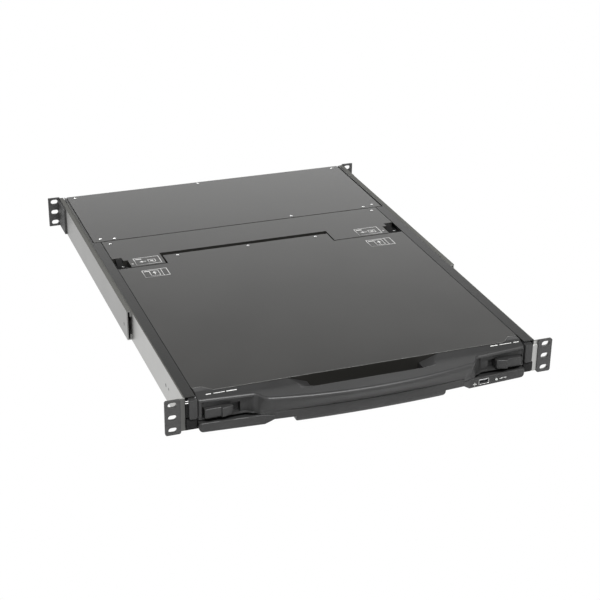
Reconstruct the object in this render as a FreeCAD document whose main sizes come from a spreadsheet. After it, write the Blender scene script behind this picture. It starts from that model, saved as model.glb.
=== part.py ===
import FreeCAD, Part
import math
import os
import re

import Sketcher

# Rackmount LCD console drawer, one rack unit high, with a lid-type screen module
# and a keyboard module that slide on separate ball rails.
# Frame: X to the right seen from the front, Y into the rack, Z up, millimetres.
# The origin is the middle of the front rack holes, on the face of the front ears.

doc = FreeCAD.newDocument("console_drawer")
sheet = doc.addObject("Spreadsheet::Sheet", "sizes")

SIZES = {
    # Rack interface
    "rack_width": 482.6,
    "mount_depth": 646,
    "ear_tall": 43.6,
    "ear_reach": 18.3,
    "ear_sheet": 2.6,
    "ear_corner": 2.5,
    "hole_inset": 8.75,
    "hole_pitch": 15.875,
    "slot_long": 10.3,
    "slot_wide": 6.8,
    "ear_leg": 46,
    "ear_leg_tall": 38,
    # Chassis
    "chassis_margin": 23.8,
    "chassis_sheet": 1.2,
    "chassis_low": -21,
    "top_level": 21.3,
    "chassis_front": 4,
    "rear_gap": 4,
    "strip_gap": 1.0,
    "rear_cover_deep": 179,
    "cover_inset": 3.5,
    "cover_sheet": 1.2,
    "cover_seam": 1.5,
    "ledge_wide": 16,
    "rear_panel_sheet": 1.2,
    # Side rails and rear brackets
    "rail_sheet": 1.4,
    "rail_low": -20,
    "rail_top": 21,
    "rail_short": 22,
    "rail_flange_inset": 1.5,
    "bracket_wide": 5.3,
    "bracket_sheet": 1.5,
    "bracket_low": -19,
    "bracket_top": 21,
    "bracket_long": 408,
    "bracket_lip": 8,
    "guide_inset": 207,
    "guide_long": 20,
    "guide_step": 65,
    "slide_play": 0.3,
    # Ball slides
    "slide_sheet": 1.2,
    "slide_deep": 8.8,
    "slide_front": 10.5,
    "slide_end_gap": 3,
    "arm_gap": 1.6,
    "arm_deep": 7.9,
    "arm_short": 39,
    "lcd_slide_level": 9,
    "lcd_slide_tall": 17,
    "keyboard_slide_level": -12,
    "keyboard_slide_tall": 13,
    "ball": 2.4,
    "ball_play": 0.1,
    "ball_inset": 4.6,
    "cage_sheet": 1.0,
    "cage_deep": 6.6,
    "cage_front": 235,
    "cage_long": 150,
    "end_block_front": 2.5,
    "end_block_long": 7.4,
    "end_block_low": -5,
    "end_block_top": 19.5,
    "end_block_half": 5,
    "end_block_play": 0.4,
    "boss_radius": 2.4,
    "boss_inset": 15,
    "boss_step": 34,
    # Screen module
    "lid_gap": 1.6,
    "lid_sheet": 1.2,
    "lid_front": 11,
    "lid_corner": 22,
    "corner_wide": 12,
    "corner_slope": 10,
    "module_gap": 2,
    "lid_seam": 2,
    "lid_low": -5,
    "frame_sheet": 1.5,
    "tongue_left_inset": 68,
    "tongue_right_inset": 103,
    "tongue_deep": 27,
    "panel_inset": 24.7,
    "panel_front": 33,
    "panel_back_gap": 34.5,
    "panel_thick": 10.5,
    "window_inset": 10.3,
    "window_inset_front": 13,
    "window_inset_back": 13.5,
    "window_depth": 0.5,
    "driver_half": 70,
    "driver_gap": 114,
    "driver_deep": 130,
    "board_sheet": 1.6,
    "standoff_tall": 3,
    "standoff_radius": 3,
    "standoff_inset": 6,
    "osd_inset": 20,
    "osd_step": 22,
    "osd_first": -66,
    "osd_long": 11,
    "osd_wide": 5,
    "osd_proud": 0.6,
    "osd_tall": 3.2,
    # Hinge
    "hinge_back": 19,
    "hinge_z": 15,
    "hinge_radius": 4.5,
    "hinge_pin": 2.5,
    "pin_play": 0.05,
    "hinge_inset": 24,
    "barrel_half": 9.2,
    "hinge_gap": 0.3,
    "cheek_sheet": 2.5,
    "cheek_inset": 21,
    "cheek_gap": 0.8,
    "cheek_neck": 1.2,
    "arm_sheet": 1.6,
    "arm_foot_low": 4,
    "cheek_low": 2,
    "cheek_step": 2.5,
    "pin_proud": 1.5,
    "hinge_cover_deep": 95,
    "hinge_cover_low": 5,
    "notch_gap_left": 2.5,
    "notch_gap_right": 2,
    "notch_gap_back": 9,
    # Rear catches
    "catch_wide": 13,
    "catch_room": 34,
    "catch_step_wide": 6,
    "catch_step_long": 24,
    "catch_shelf": 9,
    "catch_play": 0.4,
    "catch_travel": 6,
    "catch_low_part": 6,
    "catch_hook_long": 14,
    "catch_hook_inset": 4,
    "catch_hook_drop": 3,
    # Handle bezel
    "bezel_inset": 0.3,
    "bezel_low": -8,
    "bezel_end_y": -1.5,
    "shoulder_y": -6,
    "shoulder_run": 16,
    "handle_y": -20.8,
    "handle_front": -33.5,
    "bezel_slope_y": 1,
    "bezel_slope_z": 17.6,
    "bezel_nose_z": 16.4,
    "undercut_y": -17,
    "undercut_z": 13,
    "seam_inset": 7.7,
    "seam_level": -6,
    "seam_gap": 0.4,
    "grip_inset": 55,
    "grip_ramp_inset": 30,
    "grip_ramp_low": 12.5,
    "grip_ramp_front": -8,
    "grip_front": -10,
    "grip_floor": 0,
    "recess_long": 59.6,
    "recess_end": 3.1,
    "recess_face": 1,
    "recess_top": 14,
    "recess_run": 8,
    "recess_round": 3.5,
    "recess_lip": 1.5,
    "recess_lip_long": 41,
    "well_depth": 6,
    "latch_gap": 1.6,
    "latch_long": 36,
    "latch_plate_long": 22,
    "latch_travel": 9,
    "latch_proud": 5,
    "latch_ridge": 8.6,
    "latch_dip": 1.4,
    "latch_dip_run": 2,
    "latch_nose": 3,
    "latch_low": -5.6,
    "latch_top": 6.2,
    "brow_round": 1.4,
    # Keyboard module
    "lower_inset": 3,
    "lower_low": -21.8,
    "lower_top": -10.8,
    "lower_rise": 0.5,
    "lower_step": -8.4,
    "lower_step_run": 13.7,
    "lower_taper_run": 21,
    "lower_raise": -14.2,
    "lower_raise_run": 0.7,
    "lower_slope_run": 10.7,
    "lip_inset": 24.3,
    "lip_round": 3.5,
    "lower_round": 5,
    "lower_bevel": 2.2,
    "lower_end_y": -7,
    "lower_knee_y": -12.5,
    "lower_mid_y": -17,
    "lower_front": -22,
    "tray_gap": 1.4,
    "tray_sheet": 1.2,
    "tray_low": -18.8,
    "tray_top": -8.8,
    "tray_front": 2.6,
    "tray_long": 255.4,
    "tray_boss_inset": 30,
    "deck_gap": 0.3,
    "deck_top": -13.5,
    "deck_sheet": 1.5,
    "deck_rim": 2,
    "board_thin": 0.6,
    "keys_inset": 10.7,
    "key_gap": 0.9,
    "key_taper": 1.7,
    "key_low": -14.7,
    "key_top": -9.2,
    "key_play": 0.3,
    "block_gap": 5,
    "row_gap": 4,
    "pad_half": 38,
    "pad_front": 26,
    "pad_deep": 50,
    "pad_to_keys": 24,
    "pad_proud": -0.3,
    "click_front": 12,
    "click_deep": 11,
    "click_proud": 0.8,
    "click_tall": 2.6,
    "side_catch_inset": 3.7,
    "side_catch_wide": 9,
    "side_catch_front": 62,
    "side_catch_long": 24,
    "side_catch_travel": 5,
    "side_catch_proud": 2.4,
    "side_catch_bevel": 4,
    "slot_deep": 1,
    "usb_inset": 54.8,
    "usb_z": -14.7,
    "usb_wide": 13.1,
    "usb_tall": 5.8,
    "usb_sheet": 0.35,
    "usb_deep": 10.6,
    "usb_front": -9.2,
    "usb_tongue": 1.8,
    "usb_tongue_gap": 0.6,
    "usb_tongue_inset": 1.2,
    "usb_wall": 1,
    "light_inset": 37.5,
    "light_z": -15.4,
    "light_radius": 1.5,
    "light_long": 8,
    "light_proud": 1.5,
    # Rear electronics
    "board_wide": 210,
    "board_deep": 132,
    "board_gap": 18,
    "board_level": -15,
    "board_back_gap": 20,
    "supply_inset": 28,
    "supply_wide": 108,
    "supply_deep": 114,
    "supply_back_gap": 36,
    "supply_top": 13,
    "inlet_inset": 26,
    "inlet_z": -2,
    "inlet_wide": 28,
    "inlet_tall": 20,
    "inlet_wall": 2,
    "inlet_deep": 18,
    "inlet_rim": 1.8,
    "switch_step": 38,
    "switch_wide": 13,
    "switch_tall": 19.5,
    "switch_deep": 10,
    "switch_wall": 1,
    "switch_play": 0.3,
    "rocker_axis_gap": 4,
    "rocker_play": 0.8,
    "rocker_root": 2.5,
    "rocker_root_half": 3,
    "rocker_side": 2.6,
    "rocker_top": 5.6,
    "rocker_dip": 4.6,
    "rocker_draft": 0.4,
    "port_inset": 40,
    "port_step": 46,
    "port_wide": 31,
    "port_tall": 12.5,
    "port_deep": 16,
    "port_back": 8,
    "port_proud": 2,
    "port_wall": 2,
    "panel_play": 0.3,
    "chip": 28,
    "chip_tall": 3,
    # Fasteners
    "screw_head": 2.4,
    "screw_shank": 1.4,
    "screw_play": 0.1,
    "screw_head_tall": 0.5,
    "screw_side_inset": 11,
    "screw_edge_inset": 5,
    "screw_front_inset": 9,
    "screw_back_inset": 8,
    "screw_left_inset": 30,
    "screw_right_inset": 26,
    "screw_right_middle": 76,
    "screw_back_middle": -14,
}

for row, (alias, size) in enumerate(SIZES.items(), 1):
    sheet.set(f"A{row}", alias)
    sheet.set(f"B{row}", str(size))
    sheet.setAlias(f"B{row}", alias)
doc.recompute()

WORD = re.compile(r"[a-z_][a-z_0-9]*")
NODES = []


def number(expression):
    """The present value of an expression in the sheet's aliases."""
    return float(sheet.evalExpression(str(expression)))


def linked(expression):
    """The expression with every alias written as a cell of the sheet."""
    return WORD.sub(lambda word: "sizes." + word.group() if word.group() in SIZES else word.group(),
                    str(expression))


def bind(item, prop, expression):
    item.setExpression(prop, linked(expression))


def as_node(item, name):
    """Marks an object as a sub-part: its label names its file."""
    item.Label = name
    NODES.append(item)
    return item


# Primitives and booleans, all sized by expressions in the sheet's aliases

def box(name, x_span, y_span, z_span):
    item = doc.addObject("Part::Box", name)
    for axis, side, (low, high) in (("x", "Length", x_span), ("y", "Width", y_span),
                                    ("z", "Height", z_span)):
        bind(item, f"Placement.Base.{axis}", low)
        bind(item, side, f"({high}) - ({low})")
    return item


def rod(name, axis, start, radius, length):
    """A round bar from a start point along +X, +Y or +Z."""
    item = doc.addObject("Part::Cylinder", name)
    turns = {"x": ((0, 1, 0), 90), "y": ((1, 0, 0), -90), "z": ((0, 0, 1), 0)}
    direction, angle = turns[axis]
    item.Placement = FreeCAD.Placement(FreeCAD.Vector(), FreeCAD.Rotation(FreeCAD.Vector(*direction), angle))
    for letter, place in zip("xyz", start):
        bind(item, f"Placement.Base.{letter}", place)
    bind(item, "Radius", radius)
    bind(item, "Height", length)
    return item


def post(name, sides, start, radius, length):
    """An upright bar with flat sides; the radius reaches its corners."""
    item = doc.addObject("Part::Prism", name)
    item.Polygon = sides
    for letter, place in zip("xyz", start):
        bind(item, f"Placement.Base.{letter}", place)
    bind(item, "Circumradius", radius)
    bind(item, "Height", length)
    return item


def fused(name, pieces):
    item = doc.addObject("Part::MultiFuse", name)
    item.Shapes = pieces
    return item


def group(name, pieces):
    """Separate solids that share one node."""
    item = doc.addObject("Part::Compound", name)
    item.Links = pieces
    return item


def trimmed(name, base, tools):
    item = doc.addObject("Part::Cut", name)
    item.Base = base
    item.Tool = tools[0] if len(tools) == 1 else fused(name + "_tools", tools)
    return item


def mirrored(name, source):
    """The same piece on the other side of the middle plane."""
    item = doc.addObject("Part::Mirroring", name)
    item.Source = source
    item.Normal = FreeCAD.Vector(1, 0, 0)
    return item


def pair(name, right_piece):
    """Right and left hand versions of a piece as two nodes."""
    as_node(right_piece, name + "_right")
    as_node(mirrored(name + "_mirror", right_piece), name + "_left")


# Sketch-based bodies: outlines are lists of corner expressions in the plane's own axes

def sketch_on(body, name, plane, level, outlines, circles=()):
    """A fully dimensioned sketch at a level along the normal of an origin plane."""
    sketch = body.newObject("Sketcher::SketchObject", name)
    face = [feature for feature in body.Origin.OriginFeatures if feature.Role == plane + "_Plane"]
    sketch.AttachmentSupport = (face[0], [""])
    sketch.MapMode = "FlatFace"
    bind(sketch, "AttachmentOffset.Base.z", f"-({level})" if plane == "XZ" else level)
    first = 0
    for corners in outlines:
        points = [FreeCAD.Vector(number(across), number(along), 0) for across, along in corners]
        count = len(points)
        for index in range(count):
            sketch.addGeometry(Part.LineSegment(points[index], points[(index + 1) % count]), False)
        for index in range(count):
            following = first + (index + 1) % count
            sketch.addConstraint(Sketcher.Constraint("Coincident", first + index, 2, following, 1))
        for index, place in enumerate(corners):
            place_point(sketch, first + index, 1, place)
        first += count
    for across, along, radius in circles:
        centre = FreeCAD.Vector(number(across), number(along), 0)
        sketch.addGeometry(Part.Circle(centre, FreeCAD.Vector(0, 0, 1), number(radius)), False)
        place_point(sketch, first, 3, (across, along))
        limit = sketch.addConstraint(Sketcher.Constraint("Radius", first, number(radius)))
        bind(sketch, f"Constraints[{limit}]", radius)
        first += 1
    return sketch


def place_point(sketch, geometry, point, place):
    """Holds a sketch point at a distance from the origin along both axes."""
    for kind, expression in zip(("DistanceX", "DistanceY"), place):
        rule = Sketcher.Constraint(kind, -1, 1, geometry, point, number(expression))
        limit = sketch.addConstraint(rule)
        bind(sketch, f"Constraints[{limit}]", expression)


def new_body(name):
    return doc.addObject("PartDesign::Body", name)


def pad(body, name, plane, span, outlines, circles=()):
    """Adds material between two levels along the plane's axis."""
    low, high = span
    feature = body.newObject("PartDesign::Pad", name)
    feature.Profile = sketch_on(body, name + "_sketch", plane, low, outlines, circles)
    feature.Reversed = plane == "XZ"
    bind(feature, "Length", f"({high}) - ({low})")
    body.Tip = feature
    return feature


def pocket(body, name, plane, span, outlines, circles=()):
    """Removes material between two levels along the plane's axis."""
    low, high = span
    start = low if plane == "XZ" else high
    feature = body.newObject("PartDesign::Pocket", name)
    feature.Profile = sketch_on(body, name + "_sketch", plane, start, outlines, circles)
    bind(feature, "Length", f"({high}) - ({low})")
    body.Tip = feature
    return feature


def repeat(body, name, feature, role, count, step):
    """Repeats a feature along one of the body's own axes."""
    pattern = body.newObject("PartDesign::LinearPattern", name)
    pattern.Originals = [feature]
    axis = [item for item in body.Origin.OriginFeatures if item.Role == role]
    pattern.Direction = (axis[0], [""])
    pattern.Occurrences = count
    bind(pattern, "Length", f"({step}) * {count - 1}")
    body.Tip = pattern
    return pattern


def round_edges(body, name, radius, wanted):
    """Rounds the edges of the body's last feature that the wanted test picks."""
    doc.recompute()
    base = body.Tip
    edges = [f"Edge{index}" for index, edge in enumerate(base.Shape.Edges, 1) if wanted(edge.BoundBox)]
    feature = body.newObject("PartDesign::Fillet", name)
    feature.Base = (base, edges)
    bind(feature, "Radius", radius)
    body.Tip = feature
    return feature


def rectangle(low_across, low_along, high_across, high_along):
    return [(low_across, low_along), (high_across, low_along),
            (high_across, high_along), (low_across, high_along)]


def both_sides(corners):
    """An outline given for the right half, from the middle outwards, closed over the left."""
    return corners + [(f"-({across})", along) for across, along in reversed(corners)]


def along_y(box_of_edge):
    return box_of_edge.YLength > 0.5 and box_of_edge.XLength < 1e-4 and box_of_edge.ZLength < 1e-4


# Widths and depths of the frame, from the rack's own sizes

EAR_TIP = "(rack_width / 2)"
EAR_INNER = f"({EAR_TIP} - ear_reach)"
HOLE_MIDDLE = f"({EAR_TIP} - hole_inset)"
CHASSIS_HALF = f"({EAR_TIP} - chassis_margin)"
CHASSIS_BACK = "(mount_depth - rear_gap)"
WALL_INNER = f"({CHASSIS_HALF} - chassis_sheet)"
FLOOR_TOP = "(chassis_low + chassis_sheet)"
UNDER_TOP = "(top_level - cover_sheet)"
COVER_HALF = f"({CHASSIS_HALF} - cover_inset)"
COVER_FRONT = f"({CHASSIS_BACK} - rear_cover_deep)"
STRIP_END = f"({COVER_FRONT} - cover_seam)"

# Widths of the modules, counted inwards from the chassis wall through the ball slides

OUTER_WEB = f"({WALL_INNER} - slide_sheet)"
SLIDE_MOUTH = f"({WALL_INNER} - slide_deep)"
SLIDE_REACH = f"({OUTER_WEB} - arm_gap)"
SLIDE_WEB = f"({SLIDE_REACH} - arm_deep)"
LID_HALF = f"({SLIDE_WEB} - lid_gap)"
TRAY_HALF = f"({SLIDE_WEB} - tray_gap)"
STRIP_INNER = f"({LID_HALF} + strip_gap)"
SLIDE_BACK = f"({CHASSIS_BACK} - slide_end_gap)"
ARM_BACK = f"({SLIDE_BACK} - arm_short)"

# Depths of the screen module, counted forwards from the rear cover

HINGE_COVER_BACK = f"({COVER_FRONT} - module_gap)"
HINGE_COVER_FRONT = f"({HINGE_COVER_BACK} - hinge_cover_deep)"
LID_BACK = f"({HINGE_COVER_FRONT} - lid_seam)"
HINGE_Y = f"({LID_BACK} + hinge_back)"
TONGUE_BACK = f"({LID_BACK} + tongue_deep)"
NOTCH_BACK = f"({TONGUE_BACK} + notch_gap_back)"
TONGUE_LEFT = f"(-({LID_HALF} - tongue_left_inset))"
TONGUE_RIGHT = f"({LID_HALF} - tongue_right_inset)"
NOTCH_LEFT = f"({TONGUE_LEFT} - notch_gap_left)"
NOTCH_RIGHT = f"({TONGUE_RIGHT} + notch_gap_right)"
TRAY_BACK = "(tray_front + tray_long)"

# Chassis tray: one folded sheet, a floor with two walls, strips along the top edges
# and a sunk ledge that carries the rear cover

tray = new_body("tray_body")
pad(tray, "folded_sheet", "XZ", ("chassis_front", CHASSIS_BACK), [both_sides([
    (CHASSIS_HALF, "chassis_low"),
    (CHASSIS_HALF, "top_level"),
    (STRIP_INNER, "top_level"),
    (STRIP_INNER, "top_level - chassis_sheet"),
    (WALL_INNER, "top_level - chassis_sheet"),
    (WALL_INNER, FLOOR_TOP)])])
pocket(tray, "strip_end", "XY", (UNDER_TOP, "top_level + 1"),
       [rectangle(f"-{WALL_INNER}", STRIP_END, WALL_INNER, f"{CHASSIS_BACK} + 1")])
pad(tray, "cover_ledge", "XY", (f"{UNDER_TOP} - chassis_sheet", UNDER_TOP), [
    both_sides([(STRIP_INNER, STRIP_END), (STRIP_INNER, f"{STRIP_END} - chassis_sheet"),
                (WALL_INNER, f"{STRIP_END} - chassis_sheet"), (WALL_INNER, CHASSIS_BACK)]),
    rectangle(f"-{STRIP_INNER}", f"{COVER_FRONT} + ledge_wide", STRIP_INNER, f"{CHASSIS_BACK} - ledge_wide")])
COVER_SCREWS = [
    (f"-({COVER_HALF} - screw_side_inset)", f"{COVER_FRONT} + screw_front_inset"),
    (f"-({COVER_HALF} - screw_left_inset)", f"{COVER_FRONT} + screw_edge_inset"),
    ("screw_right_middle", f"{COVER_FRONT} + screw_edge_inset"),
    (f"{COVER_HALF} - screw_right_inset", f"{COVER_FRONT} + screw_edge_inset"),
    (f"{COVER_HALF} - screw_side_inset", f"{COVER_FRONT} + screw_front_inset"),
    ("screw_back_middle", f"{CHASSIS_BACK} - screw_edge_inset"),
    (f"-({COVER_HALF} - screw_side_inset)", f"{CHASSIS_BACK} - screw_back_inset"),
    (f"{COVER_HALF} - screw_side_inset", f"{CHASSIS_BACK} - screw_back_inset")]
HOLE_CORNERS = [(math.cos(math.radians(45 * turn)), math.sin(math.radians(45 * turn))) for turn in range(8)]
SCREW_HOLES = [[(f"{across} + (screw_shank + screw_play) * {east:.6f}",
                 f"{along} + (screw_shank + screw_play) * {north:.6f}") for east, north in HOLE_CORNERS]
               for across, along in COVER_SCREWS]
pocket(tray, "ledge_holes", "XY", (f"{UNDER_TOP} - chassis_sheet - 1", f"{UNDER_TOP} + 1"), SCREW_HOLES)
as_node(tray, "chassis_tray")

# Rear cover: a flat plate on the ledge, held by small screws

cover = new_body("rear_cover_body")
pad(cover, "cover_plate", "XY", (UNDER_TOP, "top_level"),
    [rectangle(f"-{COVER_HALF}", COVER_FRONT, COVER_HALF, CHASSIS_BACK)] + SCREW_HOLES)
as_node(cover, "rear_cover")

screws = []
for index, (across, along) in enumerate(COVER_SCREWS):
    shank_low = f"{UNDER_TOP} - chassis_sheet"
    shank = post(f"cover_screw_shank_{index}", 8, (across, along, shank_low), "screw_shank",
                 f"top_level - ({shank_low})")
    head = post(f"cover_screw_head_{index}", 12, (across, along, "top_level"), "screw_head",
                "screw_head_tall")
    screws.append(fused(f"cover_screw_{index}", [shank, head]))
as_node(group("cover_screw_group", screws), "cover_screws")

# Side rails: galvanised plates on the chassis walls, bent outwards behind the front ears,
# with two T-shaped guides that hold the rear bracket

RAIL_OUTER = f"({CHASSIS_HALF} + rail_sheet)"
RAIL_BACK = f"({CHASSIS_BACK} - rail_short)"
BRACKET_INNER = f"({RAIL_OUTER} + slide_play)"
BRACKET_OUTER = f"({BRACKET_INNER} + bracket_wide)"
BRACKET_FRONT = "(mount_depth - bracket_long)"
GUIDE_FRONT = f"({BRACKET_FRONT} + guide_inset)"


def slot_row(body, name, y_span):
    """Three rack slots, one sketch repeated upwards at the hole pitch."""
    middle = HOLE_MIDDLE
    straight = "(slot_long - slot_wide) / 2"
    lowest = "-hole_pitch"
    first = pocket(body, name + "_slot", "XZ", y_span, [rectangle(
        f"{middle} - {straight}", f"{lowest} - slot_wide / 2",
        f"{middle} + {straight}", f"{lowest} + slot_wide / 2")])
    repeat(body, name + "_slots", first, "Z_Axis", 3, "hole_pitch")
    for end, sign in (("inner", "-"), ("outer", "+")):
        eye = pocket(body, f"{name}_{end}_eye", "XZ", y_span, [],
                     [(f"{middle} {sign} {straight}", lowest, "slot_wide / 2")])
        repeat(body, f"{name}_{end}_eyes", eye, "Z_Axis", 3, "hole_pitch")


rail = new_body("side_rail_body")
pad(rail, "rail_plate", "XY", ("rail_low", "rail_top"), [[
    (CHASSIS_HALF, "ear_sheet"),
    (f"{EAR_TIP} - rail_flange_inset", "ear_sheet"),
    (f"{EAR_TIP} - rail_flange_inset", "ear_sheet + rail_sheet"),
    (RAIL_OUTER, "ear_sheet + rail_sheet"),
    (RAIL_OUTER, RAIL_BACK),
    (CHASSIS_HALF, RAIL_BACK)]])
slot_row(rail, "rail", ("ear_sheet - 1", "ear_sheet + rail_sheet + 1"))
BRACKET_MIDDLE = "((bracket_low + bracket_top) / 2)"
BRACKET_HALF = "((bracket_top - bracket_low) / 2)"
NECK_TOP = f"({BRACKET_INNER} + bracket_sheet + slide_play)"
rail_pieces = [rail]
for index in range(2):
    guide_start = f"{GUIDE_FRONT} + {index} * guide_step"
    guide_span = (guide_start, f"{guide_start} + guide_long")
    neck_half = f"({BRACKET_HALF} - bracket_lip - slide_play)"
    head_half = f"({BRACKET_HALF} - bracket_sheet - slide_play)"
    rail_pieces.append(box(f"guide_neck_{index}", (RAIL_OUTER, NECK_TOP), guide_span,
                           (f"{BRACKET_MIDDLE} - {neck_half}", f"{BRACKET_MIDDLE} + {neck_half}")))
    rail_pieces.append(box(f"guide_head_{index}",
                           (NECK_TOP, f"{BRACKET_OUTER} - bracket_sheet - slide_play"), guide_span,
                           (f"{BRACKET_MIDDLE} - {head_half}", f"{BRACKET_MIDDLE} + {head_half}")))
pair("side_rail", fused("side_rail_fused", rail_pieces))

# Front ears: flat steel plates with three slots, screwed on the rails' front flanges

ear = new_body("front_ear_body")
pad(ear, "ear_plate", "XZ", ("0", "ear_sheet"),
    [rectangle(EAR_INNER, "-ear_tall / 2", EAR_TIP, "ear_tall / 2")])
round_edges(ear, "ear_corners", "ear_corner", along_y)
slot_row(ear, "ear", ("-1", "ear_sheet + 1"))
pair("front_ear", ear)

# Rear brackets: lipped channels over the rails' guides, with a riveted rear ear each

bracket = new_body("rear_bracket_body")
LIP_TOP = "(bracket_top - bracket_lip)"
LIP_LOW = "(bracket_low + bracket_lip)"
pad(bracket, "bracket_channel", "XZ", (BRACKET_FRONT, "mount_depth - ear_sheet"), [[
    (BRACKET_OUTER, "bracket_low"),
    (BRACKET_OUTER, "bracket_top"),
    (BRACKET_INNER, "bracket_top"),
    (BRACKET_INNER, LIP_TOP),
    (f"{BRACKET_INNER} + bracket_sheet", LIP_TOP),
    (f"{BRACKET_INNER} + bracket_sheet", "bracket_top - bracket_sheet"),
    (f"{BRACKET_OUTER} - bracket_sheet", "bracket_top - bracket_sheet"),
    (f"{BRACKET_OUTER} - bracket_sheet", "bracket_low + bracket_sheet"),
    (f"{BRACKET_INNER} + bracket_sheet", "bracket_low + bracket_sheet"),
    (f"{BRACKET_INNER} + bracket_sheet", LIP_LOW),
    (BRACKET_INNER, LIP_LOW),
    (BRACKET_INNER, "bracket_low")]])
pair("rear_bracket", bracket)

rear_ear = new_body("rear_ear_body")
pad(rear_ear, "rear_ear_leg", "XY", ("-ear_leg_tall / 2", "ear_leg_tall / 2"), [
    rectangle(BRACKET_OUTER, "mount_depth - ear_leg", f"{BRACKET_OUTER} + ear_sheet", "mount_depth")])
pad(rear_ear, "rear_ear_plate", "XZ", ("mount_depth - ear_sheet", "mount_depth"),
    [rectangle(BRACKET_OUTER, "-ear_tall / 2", EAR_TIP, "ear_tall / 2")])
slot_row(rear_ear, "rear_ear", ("mount_depth - ear_sheet - 1", "mount_depth + 1"))
pair("rear_ear", rear_ear)

# Ball slides: the outer member is one rolled section with a channel for each module

RACE = "(ball + 2 * ball_play)"
BALL_PLACE = f"({OUTER_WEB} - ball_inset)"
CAGE_MOUTH = f"({OUTER_WEB} - cage_deep)"
LCD_ARM_HALF = f"(lcd_slide_tall / 2 - slide_sheet - {RACE})"
KEYBOARD_ARM_HALF = f"(keyboard_slide_tall / 2 - slide_sheet - {RACE})"
outer_corners = [(WALL_INNER, "keyboard_slide_level - keyboard_slide_tall / 2"),
                 (WALL_INNER, "lcd_slide_level + lcd_slide_tall / 2")]
for level, tall in (("lcd_slide_level", "lcd_slide_tall"), ("keyboard_slide_level", "keyboard_slide_tall")):
    upper = f"{level} + {tall} / 2"
    lower = f"{level} - {tall} / 2"
    outer_corners += [(SLIDE_MOUTH, upper), (SLIDE_MOUTH, f"{upper} - slide_sheet"),
                      (OUTER_WEB, f"{upper} - slide_sheet"), (OUTER_WEB, f"{lower} + slide_sheet"),
                      (SLIDE_MOUTH, f"{lower} + slide_sheet"), (SLIDE_MOUTH, lower)]
    if level == "lcd_slide_level":
        outer_corners += [(OUTER_WEB, lower), (OUTER_WEB, "keyboard_slide_level + keyboard_slide_tall / 2")]
outer = new_body("slide_outer_body")
pad(outer, "outer_section", "XZ", ("slide_front", SLIDE_BACK), [outer_corners])
pair("slide_outer", outer)


BLOCK_Y = ("end_block_front", "(end_block_front + end_block_long)")
BALLS_IN_ROW = 4


def slide_arm(name, level, half, block, bosses):
    """Inner slide member: a channel open outwards, its front block and the bosses of its module."""
    arm = new_body(name + "_body")
    pad(arm, name + "_section", "XZ", (BLOCK_Y[1], ARM_BACK), [[
        (SLIDE_WEB, f"{level} - {half}"),
        (SLIDE_REACH, f"{level} - {half}"),
        (SLIDE_REACH, f"{level} - {half} + slide_sheet"),
        (f"{SLIDE_WEB} + slide_sheet", f"{level} - {half} + slide_sheet"),
        (f"{SLIDE_WEB} + slide_sheet", f"{level} + {half} - slide_sheet"),
        (SLIDE_REACH, f"{level} + {half} - slide_sheet"),
        (SLIDE_REACH, f"{level} + {half}"),
        (SLIDE_WEB, f"{level} + {half}")]])
    pieces = [arm, box(name + "_block", *block)]
    for index, (inner, along) in enumerate(bosses):
        pieces.append(rod(f"{name}_boss_{index}", "x", (inner, along, level), "boss_radius",
                          f"{SLIDE_WEB} - ({inner})"))
    pair(name, fused(name + "_fused", pieces))


def ball_shape():
    """A ball with flats in place of its curve, so that the cages stay light."""
    side = number("ball")
    block = Part.makeBox(side, side, side, FreeCAD.Vector(-side / 2, -side / 2, -side / 2))
    return block.makeChamfer(side * (1 - 0.5 ** 0.5), block.Edges)


def ball_cage(name, level, half):
    """Ball cage: a thin channel between the members, two rows of balls held in its legs."""
    cage = new_body(name + "_body")
    row = f"({half} + {RACE} / 2)"
    back = f"({OUTER_WEB} - slide_play)"
    pad(cage, name + "_strip", "XZ", ("cage_front", "cage_front + cage_long"), [[
        (CAGE_MOUTH, f"{level} - {row} - cage_sheet / 2"),
        (back, f"{level} - {row} - cage_sheet / 2"),
        (back, f"{level} + {row} + cage_sheet / 2"),
        (CAGE_MOUTH, f"{level} + {row} + cage_sheet / 2"),
        (CAGE_MOUTH, f"{level} + {row} - cage_sheet / 2"),
        (f"{back} - cage_sheet", f"{level} + {row} - cage_sheet / 2"),
        (f"{back} - cage_sheet", f"{level} - {row} + cage_sheet / 2"),
        (CAGE_MOUTH, f"{level} - {row} + cage_sheet / 2")]])
    pieces = [cage]
    for sign in ("-", "+"):
        for index in range(BALLS_IN_ROW):
            ball = doc.addObject("Part::Feature", f"{name}_ball")
            ball.Shape = ball_shape()
            bind(ball, "Placement.Base.x", BALL_PLACE)
            bind(ball, "Placement.Base.y", f"cage_front + cage_long * ({index} + 0.5) / {BALLS_IN_ROW}")
            bind(ball, "Placement.Base.z", f"{level} {sign} {row}")
            pieces.append(ball)
    pair(name, fused(name + "_fused", pieces))


slide_arm("lcd_slide", "lcd_slide_level", LCD_ARM_HALF,
          ((f"{LID_HALF} + end_block_play", SLIDE_REACH), BLOCK_Y, ("end_block_low", "end_block_top")),
          [(LID_HALF, f"{HINGE_COVER_BACK} - boss_inset"),
           (LID_HALF, f"{HINGE_COVER_BACK} - boss_inset - boss_step")])
slide_arm("keyboard_slide", "keyboard_slide_level", KEYBOARD_ARM_HALF,
          ((SLIDE_WEB, SLIDE_REACH), BLOCK_Y,
           ("keyboard_slide_level - end_block_half", "keyboard_slide_level + end_block_half")),
          [(TRAY_HALF, "tray_front + tray_boss_inset"), (TRAY_HALF, f"(tray_front + {TRAY_BACK}) / 2"),
           (TRAY_HALF, f"{TRAY_BACK} - tray_boss_inset")])
ball_cage("lcd_cage", "lcd_slide_level", LCD_ARM_HALF)
ball_cage("keyboard_cage", "keyboard_slide_level", KEYBOARD_ARM_HALF)

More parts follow.
